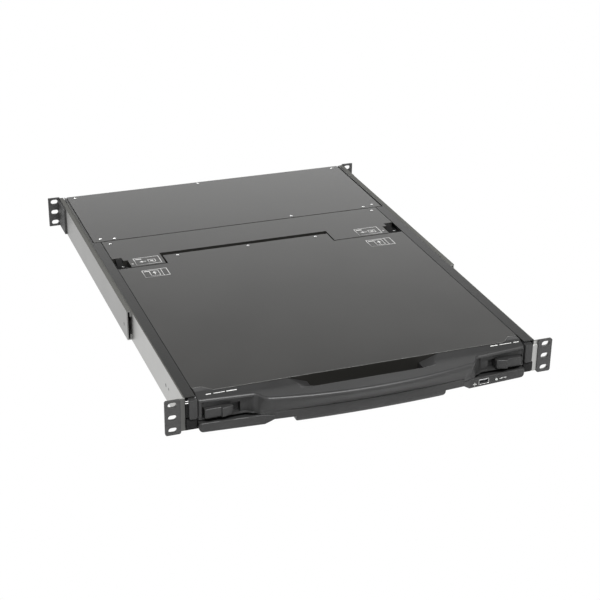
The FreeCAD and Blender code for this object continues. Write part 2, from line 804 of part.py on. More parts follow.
# Hinge cover: folded sheet between the arms, notched for the lid's tongue,
# with an open pocket at each front corner for a release catch

hinge_cover = new_body("hinge_cover_body")


def hinge_outline(inset):
    side, front = f"({LID_HALF} - {inset})", f"({HINGE_COVER_FRONT} + {inset})"
    notch_left, notch_right = f"({NOTCH_LEFT} - {inset})", f"({NOTCH_RIGHT} + {inset})"
    notch_back, back = f"({NOTCH_BACK} + {inset})", f"({HINGE_COVER_BACK} - {inset})"
    return [(f"-{side}", front), (notch_left, front), (notch_left, notch_back), (notch_right, notch_back),
            (notch_right, front), (side, front), (side, back), (f"-{side}", back)]


CATCH_BACK = f"({HINGE_COVER_FRONT} + catch_room)"
pad(hinge_cover, "hinge_cover_block", "XY", ("hinge_cover_low", "top_level"), [hinge_outline("0")])
pocket(hinge_cover, "hinge_cover_inside", "XY", ("hinge_cover_low - 1", "top_level - lid_sheet"),
       [hinge_outline("lid_sheet")])
CATCH_INNER = f"({LID_HALF} - catch_wide)"
CATCH_STEP = f"({CATCH_INNER} - catch_step_wide)"


def catch_outline(sign, sheet, front, outer):
    """The stepped corner pocket, a sheet's thickness larger for its walls."""
    step_back, back = f"({HINGE_COVER_FRONT} + catch_step_long + {sheet})", f"({CATCH_BACK} + {sheet})"
    step, inner = f"{sign}({CATCH_STEP} - {sheet})", f"{sign}({CATCH_INNER} - {sheet})"
    return [(step, front), (step, step_back), (inner, step_back), (inner, back),
            (f"{sign}{outer}", back), (f"{sign}{outer}", front)]


for word, sign in (("right", ""), ("left", "-")):
    pad(hinge_cover, f"catch_pocket_{word}", "XY", ("catch_shelf - lid_sheet", "top_level - lid_sheet"),
        [catch_outline(sign, "lid_sheet", HINGE_COVER_FRONT, LID_HALF)])
    pocket(hinge_cover, f"catch_room_{word}", "XY", ("catch_shelf", "top_level + 1"),
           [catch_outline(sign, "0", f"({HINGE_COVER_FRONT} - 1)", f"({LID_HALF} + 1)")])
as_node(hinge_cover, "hinge_cover")

# Rear release catches: moulded sliders in the hinge cover's corner pockets

catch_x = (f"{CATCH_INNER} + catch_play", f"{LID_HALF} - catch_play")
catch_y = (f"{HINGE_COVER_FRONT} + catch_travel + catch_play", f"{CATCH_BACK} - catch_play")
catch_base = box("catch_base", catch_x, catch_y,
                 ("catch_shelf + slide_play", "catch_shelf + catch_low_part"))
catch_step = box("catch_step", (f"{CATCH_STEP} + catch_play", catch_x[0]),
                 (catch_y[0], f"{HINGE_COVER_FRONT} + catch_step_long - catch_play"),
                 ("catch_shelf + slide_play", "catch_shelf + catch_low_part"))
catch_hook = new_body("catch_hook_body")
pad(catch_hook, "catch_hook", "YZ", (catch_x[0], f"{catch_x[1]} - catch_hook_inset"), [[
    (f"{catch_y[1]} - catch_hook_long", "catch_shelf + catch_low_part"),
    (catch_y[1], "catch_shelf + catch_low_part"),
    (catch_y[1], "top_level - catch_play"),
    (f"{catch_y[1]} - catch_hook_long / 5", "top_level - catch_play"),
    (f"{catch_y[1]} - catch_hook_long / 2", "top_level - catch_hook_drop")]])
pair("rear_catch", fused("rear_catch_fused", [catch_base, catch_step, catch_hook]))

# Hinges: clevis brackets under the hinge cover carry the pins, and barrel arms on the
# lid's rear wall turn on them. The cheeks reach the pin from below, clear of the tongue

TONGUE_MIDDLE = f"(({TONGUE_LEFT} + {TONGUE_RIGHT}) / 2)"
HINGE_OFFSET = f"(({TONGUE_RIGHT} - {TONGUE_LEFT}) / 2 - hinge_inset)"
CHEEK_BACK = f"({HINGE_COVER_BACK} - cheek_inset)"
CHEEK_FRONT = f"({NOTCH_BACK} + lid_sheet + cheek_gap)"
EYE_RADIUS = "(hinge_radius - hinge_gap)"
UNDER_LID = "(top_level - lid_sheet)"
for word, sign in (("left", "-"), ("right", "+")):
    centre = f"({TONGUE_MIDDLE} {sign} {HINGE_OFFSET})"
    clevis_half = "(barrel_half + hinge_gap + cheek_sheet)"
    cheeks = []
    for end, (near, far) in (("a", (f"{centre} - {clevis_half}", f"{centre} - barrel_half - hinge_gap")),
                             ("b", (f"{centre} + barrel_half + hinge_gap", f"{centre} + {clevis_half}"))):
        cheek = new_body(f"hinge_cheek_{word}_{end}")
        pad(cheek, f"cheek_{word}_{end}", "YZ", (near, far), [[
            (f"{HINGE_Y} - {EYE_RADIUS}", "hinge_z"),
            (f"{HINGE_Y} - {EYE_RADIUS}", "cheek_low"),
            (CHEEK_BACK, "cheek_low"),
            (CHEEK_BACK, UNDER_LID),
            (CHEEK_FRONT, UNDER_LID),
            (CHEEK_FRONT, "cheek_low + cheek_step"),
            (f"{HINGE_Y} + cheek_neck", "cheek_low + cheek_step"),
            (f"{HINGE_Y} + cheek_neck", "hinge_z")]])
        cheeks.append(cheek)
        cheeks.append(rod(f"cheek_eye_{word}_{end}", "x", (near, HINGE_Y, "hinge_z"),
                          EYE_RADIUS, "cheek_sheet"))
    web = box(f"clevis_web_{word}", (f"{centre} - {clevis_half}", f"{centre} + {clevis_half}"),
              (CHEEK_FRONT, CHEEK_BACK), (f"{UNDER_LID} - arm_sheet", UNDER_LID))
    pin = rod(f"hinge_pin_{word}", "x", (f"{centre} - {clevis_half} - pin_proud", HINGE_Y, "hinge_z"),
              "hinge_pin", f"2 * ({clevis_half} + pin_proud)")
    as_node(fused(f"hinge_bracket_fused_{word}", cheeks + [web, pin]), f"hinge_bracket_{word}")
    barrel_span = (f"{centre} - barrel_half", f"{centre} + barrel_half")
    barrel = rod(f"hinge_barrel_{word}", "x", (barrel_span[0], HINGE_Y, "hinge_z"),
                 "hinge_radius", "2 * barrel_half")
    leaf = box(f"hinge_leaf_{word}", barrel_span, (LID_BACK, HINGE_Y),
               (f"{UNDER_LID} - arm_sheet", UNDER_LID))
    foot = box(f"hinge_foot_{word}", barrel_span, (LID_BACK, f"{LID_BACK} + arm_sheet"),
               ("arm_foot_low", UNDER_LID))
    bore = rod(f"hinge_bore_{word}", "x", (f"{barrel_span[0]} - 1", HINGE_Y, "hinge_z"),
               "hinge_pin + pin_play", "2 * barrel_half + 2")
    arm = trimmed(f"hinge_arm_bored_{word}", fused(f"hinge_arm_fused_{word}", [barrel, leaf, foot]), [bore])
    as_node(arm, f"hinge_arm_{word}")

# Lid: a folded back cover with a rear tongue, closed by a frame round the screen


def lid_outline(inset):
    edge = f"({LID_HALF} - {inset})"
    return both_sides([(f"{LID_HALF} - corner_wide - corner_slope - {inset} / 2", f"lid_front + {inset}"),
                       (f"{LID_HALF} - corner_wide - {inset} / 2", f"lid_corner + {inset}"),
                       (edge, f"lid_corner + {inset}"),
                       (edge, f"{LID_BACK} - {inset}")])


LID_SKIRT = "(lid_low + frame_sheet)"
back_cover = new_body("lcd_back_cover_body")
pad(back_cover, "lid_block", "XY", (LID_SKIRT, "top_level"), [lid_outline("0")])
pocket(back_cover, "lid_inside", "XY", (f"{LID_SKIRT} - 1", UNDER_LID), [lid_outline("lid_sheet")])
pad(back_cover, "lid_tongue", "XY", (UNDER_LID, "top_level"),
    [rectangle(TONGUE_LEFT, LID_BACK, TONGUE_RIGHT, TONGUE_BACK)])
as_node(back_cover, "lcd_back_cover")

PANEL_HALF = f"({LID_HALF} - panel_inset)"
PANEL_BACK = f"({LID_BACK} - panel_back_gap)"
WINDOW_HALF = f"({PANEL_HALF} - window_inset)"
WINDOW_FRONT = "(panel_front + window_inset_front)"
WINDOW_BACK = f"({PANEL_BACK} - window_inset_back)"
OSD_Y = f"({LID_BACK} - osd_inset)"
OSD_COUNT = 4
front_frame = new_body("lcd_front_frame_body")
pad(front_frame, "frame_plate", "XY", ("lid_low", LID_SKIRT), [
    lid_outline("0"), rectangle(f"-{WINDOW_HALF}", WINDOW_FRONT, WINDOW_HALF, WINDOW_BACK)])
osd_hole = pocket(front_frame, "osd_hole", "XY", ("lid_low - 1", f"{LID_SKIRT} + 1"), [rectangle(
    "osd_first - osd_long / 2 - slide_play", f"{OSD_Y} - osd_wide / 2 - slide_play",
    "osd_first + osd_long / 2 + slide_play", f"{OSD_Y} + osd_wide / 2 + slide_play")])
repeat(front_frame, "osd_holes", osd_hole, "X_Axis", OSD_COUNT, "osd_step")
as_node(front_frame, "lcd_front_frame")

PANEL_TOP = f"({LID_SKIRT} + panel_thick)"
panel = new_body("lcd_panel_body")
pad(panel, "panel_block", "XY", (LID_SKIRT, PANEL_TOP),
    [rectangle(f"-{PANEL_HALF}", "panel_front", PANEL_HALF, PANEL_BACK)])
pocket(panel, "panel_glass_step", "XY", (f"{LID_SKIRT} - 1", f"{LID_SKIRT} + window_depth"),
       [rectangle(f"-{WINDOW_HALF}", WINDOW_FRONT, WINDOW_HALF, WINDOW_BACK)])
as_node(panel, "lcd_panel")

DRIVER_BACK = f"({LID_BACK} - driver_gap)"
DRIVER_FRONT = f"({DRIVER_BACK} - driver_deep)"
driver_top = f"({PANEL_TOP} + standoff_tall)"
driver_pieces = [box("driver_plate", ("-driver_half", "driver_half"), (DRIVER_FRONT, DRIVER_BACK),
                     (driver_top, f"{driver_top} + board_sheet"))]
for word, along in (("front", f"{DRIVER_FRONT} + standoff_inset"), ("back", f"{DRIVER_BACK} - standoff_inset")):
    for sign in ("-", ""):
        driver_pieces.append(post(f"driver_standoff_{word}", 6,
                                  (f"{sign}(driver_half - standoff_inset)", along, PANEL_TOP),
                                  "standoff_radius", "standoff_tall"))
as_node(fused("driver_board_fused", driver_pieces), "lcd_driver_board")

for index in range(OSD_COUNT):
    across = f"(osd_first + {index} * osd_step)"
    button = box(f"osd_button_box_{index + 1}",
                 (f"{across} - osd_long / 2", f"{across} + osd_long / 2"),
                 (f"{OSD_Y} - osd_wide / 2", f"{OSD_Y} + osd_wide / 2"),
                 ("lid_low - osd_proud", "lid_low - osd_proud + osd_tall"))
    as_node(button, f"osd_button_{index + 1}")

# Handle bezel: the lid's moulded front, bulged forward in the middle as a pull handle.
# Its plan has straight ends, S-shaped shoulders and one long arc, and a recess for each latch
# that runs out into the handle's front

BEZEL_HALF = f"({LID_HALF} - bezel_inset)"
RECESS_OUTER = f"({BEZEL_HALF} - recess_end)"
RECESS_INNER = f"({RECESS_OUTER} - recess_long)"
HANDLE_X = f"({RECESS_INNER} - shoulder_run)"
SEAM_HALF = f"({HANDLE_X} - seam_inset)"
GRIP_HALF = f"({HANDLE_X} - grip_inset)"
GRIP_RAMP = f"({HANDLE_X} - grip_ramp_inset)"
LATCH_OUTER = f"({RECESS_OUTER} - latch_gap)"
LATCH_INNER = f"({LATCH_OUTER} - latch_long)"
LATCH_PLATE = f"({LATCH_OUTER} - latch_plate_long)"
WELL_INNER = f"({LATCH_INNER} - latch_travel - slide_play)"

def vector(x_expression, y_expression, z_expression="0"):
    return FreeCAD.Vector(number(x_expression), number(y_expression), number(z_expression))


def s_curve(start, start_pull, end_pull, end):
    curve = Part.BezierCurve()
    curve.setPoles([start, start_pull, end_pull, end])
    return curve.toShape()


def prism(points, direction, close=True):
    """A straight solid on a polygon."""
    outline = Part.makePolygon(points + points[:1])
    return Part.Face(outline).extrude(direction)


def flip(points):
    return [FreeCAD.Vector(-point.x, point.y, point.z) for point in reversed(points)]


def handle_end(level):
    """The right end of the handle's arc, and a point on the arc's tangent beyond it."""
    end, nose = vector(HANDLE_X, "handle_y", level), vector("0", "handle_front", level)
    slope = math.tan(2 * math.atan((end.y - nose.y) / end.x))
    reach = number("shoulder_run / 2")
    return end, end + FreeCAD.Vector(reach, reach * slope, 0)


def bezel_plan():
    """Closed plan wire of the handle bezel at its lowest level."""
    low = "bezel_low"
    end = vector(BEZEL_HALF, "bezel_end_y", low)
    shoulder = vector(RECESS_INNER, "shoulder_y", low)
    shoulder_pull = shoulder + (shoulder - end) * number(f"shoulder_run / 2 / ({BEZEL_HALF} - {RECESS_INNER})")
    handle, handle_pull = handle_end(low)
    nose = vector("0", "handle_front", low)
    back = [vector(BEZEL_HALF, "lid_corner", low), vector(f"{LID_HALF} - corner_wide", "lid_corner", low),
            vector(f"{LID_HALF} - corner_wide - corner_slope", "lid_front", low)]
    right = [shoulder, shoulder_pull, handle_pull, handle]
    left = flip(right)
    edges = [Part.LineSegment(end, shoulder).toShape(),
             s_curve(*right),
             Part.Arc(handle, nose, left[0]).toShape(),
             s_curve(*left),
             Part.LineSegment(left[-1], flip([end])[0]).toShape()]
    trail = [flip([end])[0]] + flip(back[::-1]) + back[::-1] + [end]
    for start, finish in zip(trail, trail[1:]):
        edges.append(Part.LineSegment(start, finish).toShape())
    return Part.Wire(Part.__sortEdges__(edges))


def recess_tool():
    """The room in front of the right latch: a flat back that swings forward to the handle in an S."""
    low = "bezel_low - 1"
    outer = vector(RECESS_OUTER, "recess_face", low)
    flat = vector(f"{RECESS_INNER} + recess_run", "recess_face", low)
    flat_pull = vector(RECESS_INNER, "recess_face", low)
    handle, handle_pull = handle_end(low)
    ahead = FreeCAD.Vector(0, number("handle_front"), 0)
    rim = [handle, handle + ahead, outer + ahead, outer]
    edges = [Part.LineSegment(outer, flat).toShape(), s_curve(flat, flat_pull, handle_pull, handle)]
    edges += [Part.LineSegment(start, finish).toShape() for start, finish in zip(rim, rim[1:])]
    room = Part.Face(Part.Wire(Part.__sortEdges__(edges)))
    room = room.extrude(FreeCAD.Vector(0, 0, number("recess_top - bezel_low + 1")))
    corner = [edge for edge in room.Edges if edge.BoundBox.ZMin > number("recess_top") - 1e-3
              and edge.BoundBox.YMax > number("recess_face") - 1e-3 and edge.BoundBox.XLength > 1e-3]
    room = room.makeChamfer(number("recess_round"), corner)
    lip = Part.makeBox(number("recess_lip_long + 1"), number("recess_face") + 20, number("recess_lip + 1"),
                       vector(f"{RECESS_OUTER} - recess_lip_long", "-20", "bezel_low - 1"))
    return room.cut(lip)


def bezel_shape():
    """Plan extruded upwards, then cut by the sloped top, the undercut, the grip and the latch wells."""
    across = FreeCAD.Vector(2 * number("rack_width"), 0, 0)
    far_left = "-rack_width"
    body = Part.Face(bezel_plan()).extrude(FreeCAD.Vector(0, 0, number("top_level - bezel_low")))
    above = prism([vector(far_left, "lid_front + 1", "top_level"),
                   vector(far_left, "bezel_slope_y", "bezel_slope_z"),
                   vector(far_left, "handle_front - 5", "bezel_nose_z"),
                   vector(far_left, "handle_front - 5", "top_level + 5"),
                   vector(far_left, "lid_front + 1", "top_level + 5")], across)
    under = prism([vector(far_left, "undercut_y", "bezel_low - 1"),
                   vector(far_left, "undercut_y", "seam_level"),
                   vector(far_left, "handle_front", "undercut_z"),
                   vector(far_left, "handle_front - 20", "undercut_z"),
                   vector(far_left, "handle_front - 20", "bezel_low - 1")], across)
    body = body.cut([above, under])
    brow = [edge for edge in body.Edges if edge.BoundBox.ZMin > number("bezel_nose_z") - 1
            and edge.BoundBox.YMax < number("lid_front") and edge.BoundBox.XLength > 1
            and edge.BoundBox.YMin < number("bezel_end_y")]
    body = body.makeChamfer(number("brow_round"), brow)
    seam = prism([vector(f"-{SEAM_HALF}", "handle_front - 5", "bezel_low - 1"),
                  vector(SEAM_HALF, "handle_front - 5", "bezel_low - 1"),
                  vector(SEAM_HALF, "lid_corner", "bezel_low - 1"),
                  vector(f"-{SEAM_HALF}", "lid_corner", "bezel_low - 1")],
                 FreeCAD.Vector(0, 0, number("seam_level - bezel_low + 1")))
    grip = prism([vector(f"-{GRIP_HALF}", "grip_front", "grip_floor"),
                  vector(GRIP_HALF, "grip_front", "grip_floor"),
                  vector(GRIP_HALF, "lid_front + 0.5", "grip_floor"),
                  vector(f"-{GRIP_HALF}", "lid_front + 0.5", "grip_floor")],
                 FreeCAD.Vector(0, 0, number("top_level - grip_floor + 1")))
    ramps = prism([vector(f"-{GRIP_HALF}", "grip_ramp_front", "grip_ramp_low"),
                   vector(GRIP_HALF, "grip_ramp_front", "grip_ramp_low"),
                   vector(GRIP_RAMP, "grip_ramp_front", "top_level"),
                   vector(f"-{GRIP_RAMP}", "grip_ramp_front", "top_level")],
                  FreeCAD.Vector(0, number("lid_front + 0.5 - grip_ramp_front"), 0))
    tools = [seam, grip, ramps]
    for side in (1, -1):
        well = Part.makeBox(number(f"{LATCH_OUTER} + 2 * slide_play - {WELL_INNER}"),
                            number("well_depth + 1"),
                            number("latch_top - latch_low + 2 * slide_play"),
                            vector(WELL_INNER, "recess_face - 1", "latch_low - slide_play"))
        for tool in (recess_tool(), well):
            tools.append(tool if side == 1 else tool.mirror(FreeCAD.Vector(), FreeCAD.Vector(1, 0, 0)))
    return body.cut(tools)


bezel = doc.addObject("Part::Feature", "handle_bezel_shape")
bezel.Shape = bezel_shape()
bezel.Placement = FreeCAD.Placement()
as_node(bezel, "handle_bezel")

# Front latches: sprung finger slides in the bezel's wells

latch = new_body("front_latch_body")
pad(latch, "latch_slide", "XY", ("latch_low", "latch_top"), [[
    (LATCH_INNER, "recess_face + well_depth - slide_play"),
    (LATCH_OUTER, "recess_face + well_depth - slide_play"),
    (LATCH_OUTER, "recess_face - latch_proud"),
    (LATCH_PLATE, "recess_face - latch_proud"),
    (f"{LATCH_PLATE} - latch_dip_run", "recess_face - latch_proud + latch_dip"),
    (f"{LATCH_PLATE} - 3 * latch_dip_run", "recess_face - latch_proud"),
    (f"{LATCH_INNER} + latch_nose", "recess_face - latch_ridge + latch_nose / 5"),
    (LATCH_INNER, "recess_face - latch_ridge")]])
pair("front_latch", latch)

# Keyboard tray: a shallow folded pan between the lower slide arms

pan = new_body("keyboard_tray_body")
pad(pan, "pan_block", "XY", ("tray_low", "tray_top"),
    [rectangle(f"-{TRAY_HALF}", "tray_front", TRAY_HALF, TRAY_BACK)])
PAN_FLOOR = "(tray_low + tray_sheet)"
pocket(pan, "pan_inside", "XY", (PAN_FLOOR, "tray_top + 1"),
       [rectangle(f"-({TRAY_HALF} - tray_sheet)", "tray_front + tray_sheet",
                  f"{TRAY_HALF} - tray_sheet", f"{TRAY_BACK} - tray_sheet")])
as_node(pan, "keyboard_tray")

# Keyboard deck: a moulded top with a rim underneath, wells for the keys and the touchpad

DECK_SIDE = f"({TRAY_HALF} - tray_sheet - deck_gap)"
DECK_FRONT = "(tray_front + tray_sheet + deck_gap)"
DECK_BACK = f"({TRAY_BACK} - tray_sheet - deck_gap)"
KEY_ROWS = 5
MAIN_UNITS, NAVIGATION_UNITS, NUMBER_UNITS = 15, 3, 4
ALL_UNITS = MAIN_UNITS + NAVIGATION_UNITS + NUMBER_UNITS
KEYS_LEFT = f"(-({DECK_SIDE} - keys_inset))"
KEY_PITCH = f"(2 * ({DECK_SIDE} - keys_inset - block_gap) / {ALL_UNITS})"
PAD_BACK = "(pad_front + pad_deep)"
CLICK_BACK = "(click_front + click_deep)"
KEYS_FRONT = f"({PAD_BACK} + pad_to_keys)"
BLOCK_TOP = f"({KEYS_FRONT} + {KEY_ROWS} * {KEY_PITCH})"
FUNCTION_FRONT = f"({BLOCK_TOP} + row_gap)"
NAVIGATION_LEFT = f"({KEYS_LEFT} + {MAIN_UNITS} * {KEY_PITCH} + block_gap)"
NUMBER_LEFT = f"({NAVIGATION_LEFT} + {NAVIGATION_UNITS} * {KEY_PITCH} + block_gap)"
PLAY = "key_play"


def key_well(left, front, right, back):
    return rectangle(f"{left} - {PLAY}", f"{front} - {PLAY}", f"{right} + {PLAY}", f"{back} + {PLAY}")


deck = new_body("keyboard_deck_body")
pad(deck, "deck_block", "XY", (PAN_FLOOR, "deck_top"),
    [rectangle(f"-{DECK_SIDE}", DECK_FRONT, DECK_SIDE, DECK_BACK)])
pocket(deck, "deck_inside", "XY", (f"{PAN_FLOOR} - 1", "deck_top - deck_sheet"),
       [rectangle(f"-({DECK_SIDE} - deck_rim)", f"{DECK_FRONT} + deck_rim",
                  f"{DECK_SIDE} - deck_rim", f"{DECK_BACK} - deck_rim")])
WELLS = [
    key_well(KEYS_LEFT, KEYS_FRONT, f"{KEYS_LEFT} + {MAIN_UNITS} * {KEY_PITCH}", BLOCK_TOP),
    key_well(KEYS_LEFT, FUNCTION_FRONT, f"{KEYS_LEFT} + {MAIN_UNITS} * {KEY_PITCH}",
             f"{FUNCTION_FRONT} + {KEY_PITCH}"),
    key_well(NAVIGATION_LEFT, FUNCTION_FRONT, f"{NAVIGATION_LEFT} + {NAVIGATION_UNITS} * {KEY_PITCH}",
             f"{FUNCTION_FRONT} + {KEY_PITCH}"),
    key_well(NAVIGATION_LEFT, f"{BLOCK_TOP} - 2 * {KEY_PITCH}",
             f"{NAVIGATION_LEFT} + {NAVIGATION_UNITS} * {KEY_PITCH}", BLOCK_TOP),
    [(f"{NAVIGATION_LEFT} - {PLAY}", f"{KEYS_FRONT} - {PLAY}"),
     (f"{NAVIGATION_LEFT} + 3 * {KEY_PITCH} + {PLAY}", f"{KEYS_FRONT} - {PLAY}"),
     (f"{NAVIGATION_LEFT} + 3 * {KEY_PITCH} + {PLAY}", f"{KEYS_FRONT} + {KEY_PITCH} + {PLAY}"),
     (f"{NAVIGATION_LEFT} + 2 * {KEY_PITCH} + {PLAY}", f"{KEYS_FRONT} + {KEY_PITCH} + {PLAY}"),
     (f"{NAVIGATION_LEFT} + 2 * {KEY_PITCH} + {PLAY}", f"{KEYS_FRONT} + 2 * {KEY_PITCH} + {PLAY}"),
     (f"{NAVIGATION_LEFT} + {KEY_PITCH} - {PLAY}", f"{KEYS_FRONT} + 2 * {KEY_PITCH} + {PLAY}"),
     (f"{NAVIGATION_LEFT} + {KEY_PITCH} - {PLAY}", f"{KEYS_FRONT} + {KEY_PITCH} + {PLAY}"),
     (f"{NAVIGATION_LEFT} - {PLAY}", f"{KEYS_FRONT} + {KEY_PITCH} + {PLAY}")],
    key_well(NUMBER_LEFT, KEYS_FRONT, f"{NUMBER_LEFT} + {NUMBER_UNITS} * {KEY_PITCH}", BLOCK_TOP),
    key_well("-pad_half", "pad_front", "pad_half", PAD_BACK),
    key_well("-pad_half", "click_front", "pad_half", CLICK_BACK),
]
pocket(deck, "deck_wells", "XY", (f"{PAN_FLOOR} - 1", "deck_top + 1"), WELLS)
SIDE_CATCH_OUTER = f"({DECK_SIDE} - side_catch_inset)"
SIDE_CATCH_INNER = f"({SIDE_CATCH_OUTER} - side_catch_wide)"
CATCH_SLOT_BACK = "(side_catch_front + side_catch_long + side_catch_travel)"
for word, sign in (("right", ""), ("left", "-")):
    pocket(deck, f"side_catch_slot_{word}", "XY", ("deck_top - slot_deep", "deck_top + 1"), [
        rectangle(f"{sign}({SIDE_CATCH_INNER} - slide_play)", "side_catch_front - slide_play",
                  f"{sign}({SIDE_CATCH_OUTER} + slide_play)", f"{CATCH_SLOT_BACK} + slide_play")])
as_node(deck, "keyboard_deck")

as_node(box("key_board_box", (KEYS_LEFT, f"{NUMBER_LEFT} + {NUMBER_UNITS} * {KEY_PITCH}"),
            (KEYS_FRONT, f"{FUNCTION_FRONT} + {KEY_PITCH}"), (PAN_FLOOR, f"{PAN_FLOOR} + board_thin")),
        "key_board")
as_node(box("touchpad_box", ("-pad_half", "pad_half"), ("pad_front", PAD_BACK),
            (PAN_FLOOR, "deck_top + pad_proud")), "touchpad")
click_z = ("deck_top + click_proud - click_tall", "deck_top + click_proud")
pair("touchpad_button", box("touchpad_button_box", ("slide_play", "pad_half"),
                            ("click_front", CLICK_BACK), click_z))

# Keyboard release catches: ribbed sliders in slots beside the touchpad

side_catch = new_body("keyboard_catch_body")
pad(side_catch, "side_catch_profile", "YZ", (SIDE_CATCH_INNER, SIDE_CATCH_OUTER), [[
    ("side_catch_front", "deck_top - slot_deep + slide_play"),
    ("side_catch_front + side_catch_long", "deck_top - slot_deep + slide_play"),
    ("side_catch_front + side_catch_long", "deck_top + side_catch_proud - side_catch_bevel / 4"),
    ("side_catch_front + side_catch_long - side_catch_bevel", "deck_top + side_catch_proud"),
    ("side_catch_front + side_catch_long / 2", "deck_top + side_catch_proud / 2"),
    ("side_catch_front + side_catch_bevel", "deck_top + side_catch_proud"),
    ("side_catch_front", "deck_top + side_catch_proud - side_catch_bevel / 4")]])
pair("keyboard_catch", side_catch)

# Keycaps: tapered caps on the key pitch, one node for each group of keys


def keycap(left, front, units_wide, units_deep):
    """A four-sided cap that narrows towards its top; left and front are in millimetres."""
    pitch, gap, taper = number(KEY_PITCH), number("key_gap"), number("key_taper")
    x_low, x_high = left + gap / 2, left + units_wide * pitch - gap / 2
    y_low, y_high = front + gap / 2, front + units_deep * pitch - gap / 2
    cap = Part.makeWedge(x_low, number("key_low"), -y_high, taper - y_high, x_low + taper,
                         x_high, number("key_top"), -y_low, -y_low - taper / 2, x_high - taper)
    cap.rotate(FreeCAD.Vector(), FreeCAD.Vector(1, 0, 0), 90)
    return cap


def key_row(left, front, widths):
    """Keycaps side by side; a negative width is a gap."""
    pitch = number(KEY_PITCH)
    caps = []
    for units in widths:
        if units > 0:
            caps.append(keycap(left, front, units, 1))
        left += abs(units) * pitch
    return caps


def row_front(row):
    return number(f"{KEYS_FRONT} + {row} * {KEY_PITCH}")


main_left = number(KEYS_LEFT)
function_front = number(FUNCTION_FRONT)
typing = key_row(main_left, row_front(0), [1.25, 1.25, 1.25, -6.25, 1.25, 1.25, 1.25, 1.25])
typing += key_row(main_left, row_front(1), [2.25] + [1] * 10 + [2.75])
typing += key_row(main_left, row_front(2), [1.75] + [1] * 11 + [2.25])
typing += key_row(main_left, row_front(3), [1.5] + [1] * 12 + [1.5])
typing += key_row(main_left, row_front(4), [1] * 13 + [2])
typing += key_row(main_left, function_front, [1, -1] + [1] * 4 + [-0.5] + [1] * 4 + [-0.5] + [1] * 4)

navigation_left = number(NAVIGATION_LEFT)
navigation = key_row(navigation_left, row_front(0), [1, 1, 1])
navigation += key_row(navigation_left, row_front(1), [-1, 1])
for navigation_front in (row_front(3), row_front(4), function_front):
    navigation += key_row(navigation_left, navigation_front, [1, 1, 1])

number_left = number(NUMBER_LEFT)
number_keys = key_row(number_left, row_front(0), [2, 1])
for row in (1, 2, 3):
    number_keys += key_row(number_left, row_front(row), [1, 1, 1])
number_keys += key_row(number_left, row_front(4), [1, 1, 1, 1])
for row in (0, 2):
    tall_left = number(f"{NUMBER_LEFT} + 3 * {KEY_PITCH}")
    number_keys.append(keycap(tall_left, row_front(row), 1, 2))

space_left = number(f"{KEYS_LEFT} + 3.75 * {KEY_PITCH}")
for name, caps in (("typing_keys", typing), ("navigation_keys", navigation),
                   ("number_pad_keys", number_keys),
                   ("space_bar", [keycap(space_left, row_front(0), 6.25, 1)])):
    key_group = doc.addObject("Part::Feature", name + "_shape")
    key_group.Shape = Part.makeCompound(caps)
    as_node(key_group, name)

# Lower bezel: the keyboard module's front. Its shape is the common part of a front
# silhouette, with the raised middle and the pull lip, and a plan with a bowed front

LOWER_HALF = f"({LID_HALF} - lower_inset)"
LOWER_STEP_X = f"({SEAM_HALF} + lower_step_run)"
LOWER_TAPER_X = f"({LOWER_STEP_X} + lower_taper_run)"
LOWER_RAISE_X = f"({SEAM_HALF} + lower_raise_run)"
LOWER_SLOPE_X = f"({SEAM_HALF} + lower_slope_run)"
LIP_HALF = f"({SEAM_HALF} - lip_inset)"
USB_X = f"({LOWER_HALF} - usb_inset)"
LIGHT_X = f"({LOWER_HALF} - light_inset)"
silhouette = new_body("lower_silhouette_body")
pad(silhouette, "lower_silhouette", "XZ", ("lower_front - 5", "tray_front"), [both_sides([
    (LIP_HALF, "lower_low"),
    (LIP_HALF, "lower_raise"),
    (LOWER_RAISE_X, "lower_raise"),
    (LOWER_SLOPE_X, "lower_low"),
    (LOWER_HALF, "lower_low"),
    (LOWER_HALF, "lower_top"),
    (LOWER_TAPER_X, "lower_top + lower_rise"),
    (LOWER_STEP_X, "lower_step"),
    (SEAM_HALF, "lower_step"),
    (SEAM_HALF, "seam_level - seam_gap")])])
for corners, radius, edge_x in (("lip_corners", "lip_round", LIP_HALF),
                                ("end_corners", "lower_round", LOWER_HALF)):
    round_edges(silhouette, corners, radius, lambda edge: along_y(edge)
                and abs(edge.ZMin - number("lower_low")) < 1e-3
                and abs(abs(edge.XMin) - number(edge_x)) < 1e-3)


def lower_plan():
    """The lower bezel's plan as a solid: straight ends, knees and one long front arc."""
    level = "lower_low"
    points = [vector(LOWER_HALF, "tray_front", level), vector(LOWER_HALF, "lower_end_y", level),
              vector(LOWER_SLOPE_X, "lower_knee_y", level), vector(SEAM_HALF, "lower_mid_y", level)]
    left = flip(points)
    edges = [Part.LineSegment(start, finish).toShape() for start, finish in zip(points, points[1:])]
    edges.append(Part.Arc(points[-1], vector("0", "lower_front", level), left[0]).toShape())
    edges += [Part.LineSegment(start, finish).toShape() for start, finish in zip(left, left[1:])]
    edges.append(Part.LineSegment(left[-1], points[0]).toShape())
    face = Part.Face(Part.Wire(Part.__sortEdges__(edges)))
    block = face.extrude(FreeCAD.Vector(0, 0, number("seam_level - lower_low + 2")))
    front = [edge for edge in block.Edges if edge.BoundBox.ZMax < number("lower_low") + 1e-3
             and edge.BoundBox.YMax < number("tray_front") - 1e-3]
    return block.makeChamfer(number("lower_bevel"), front)


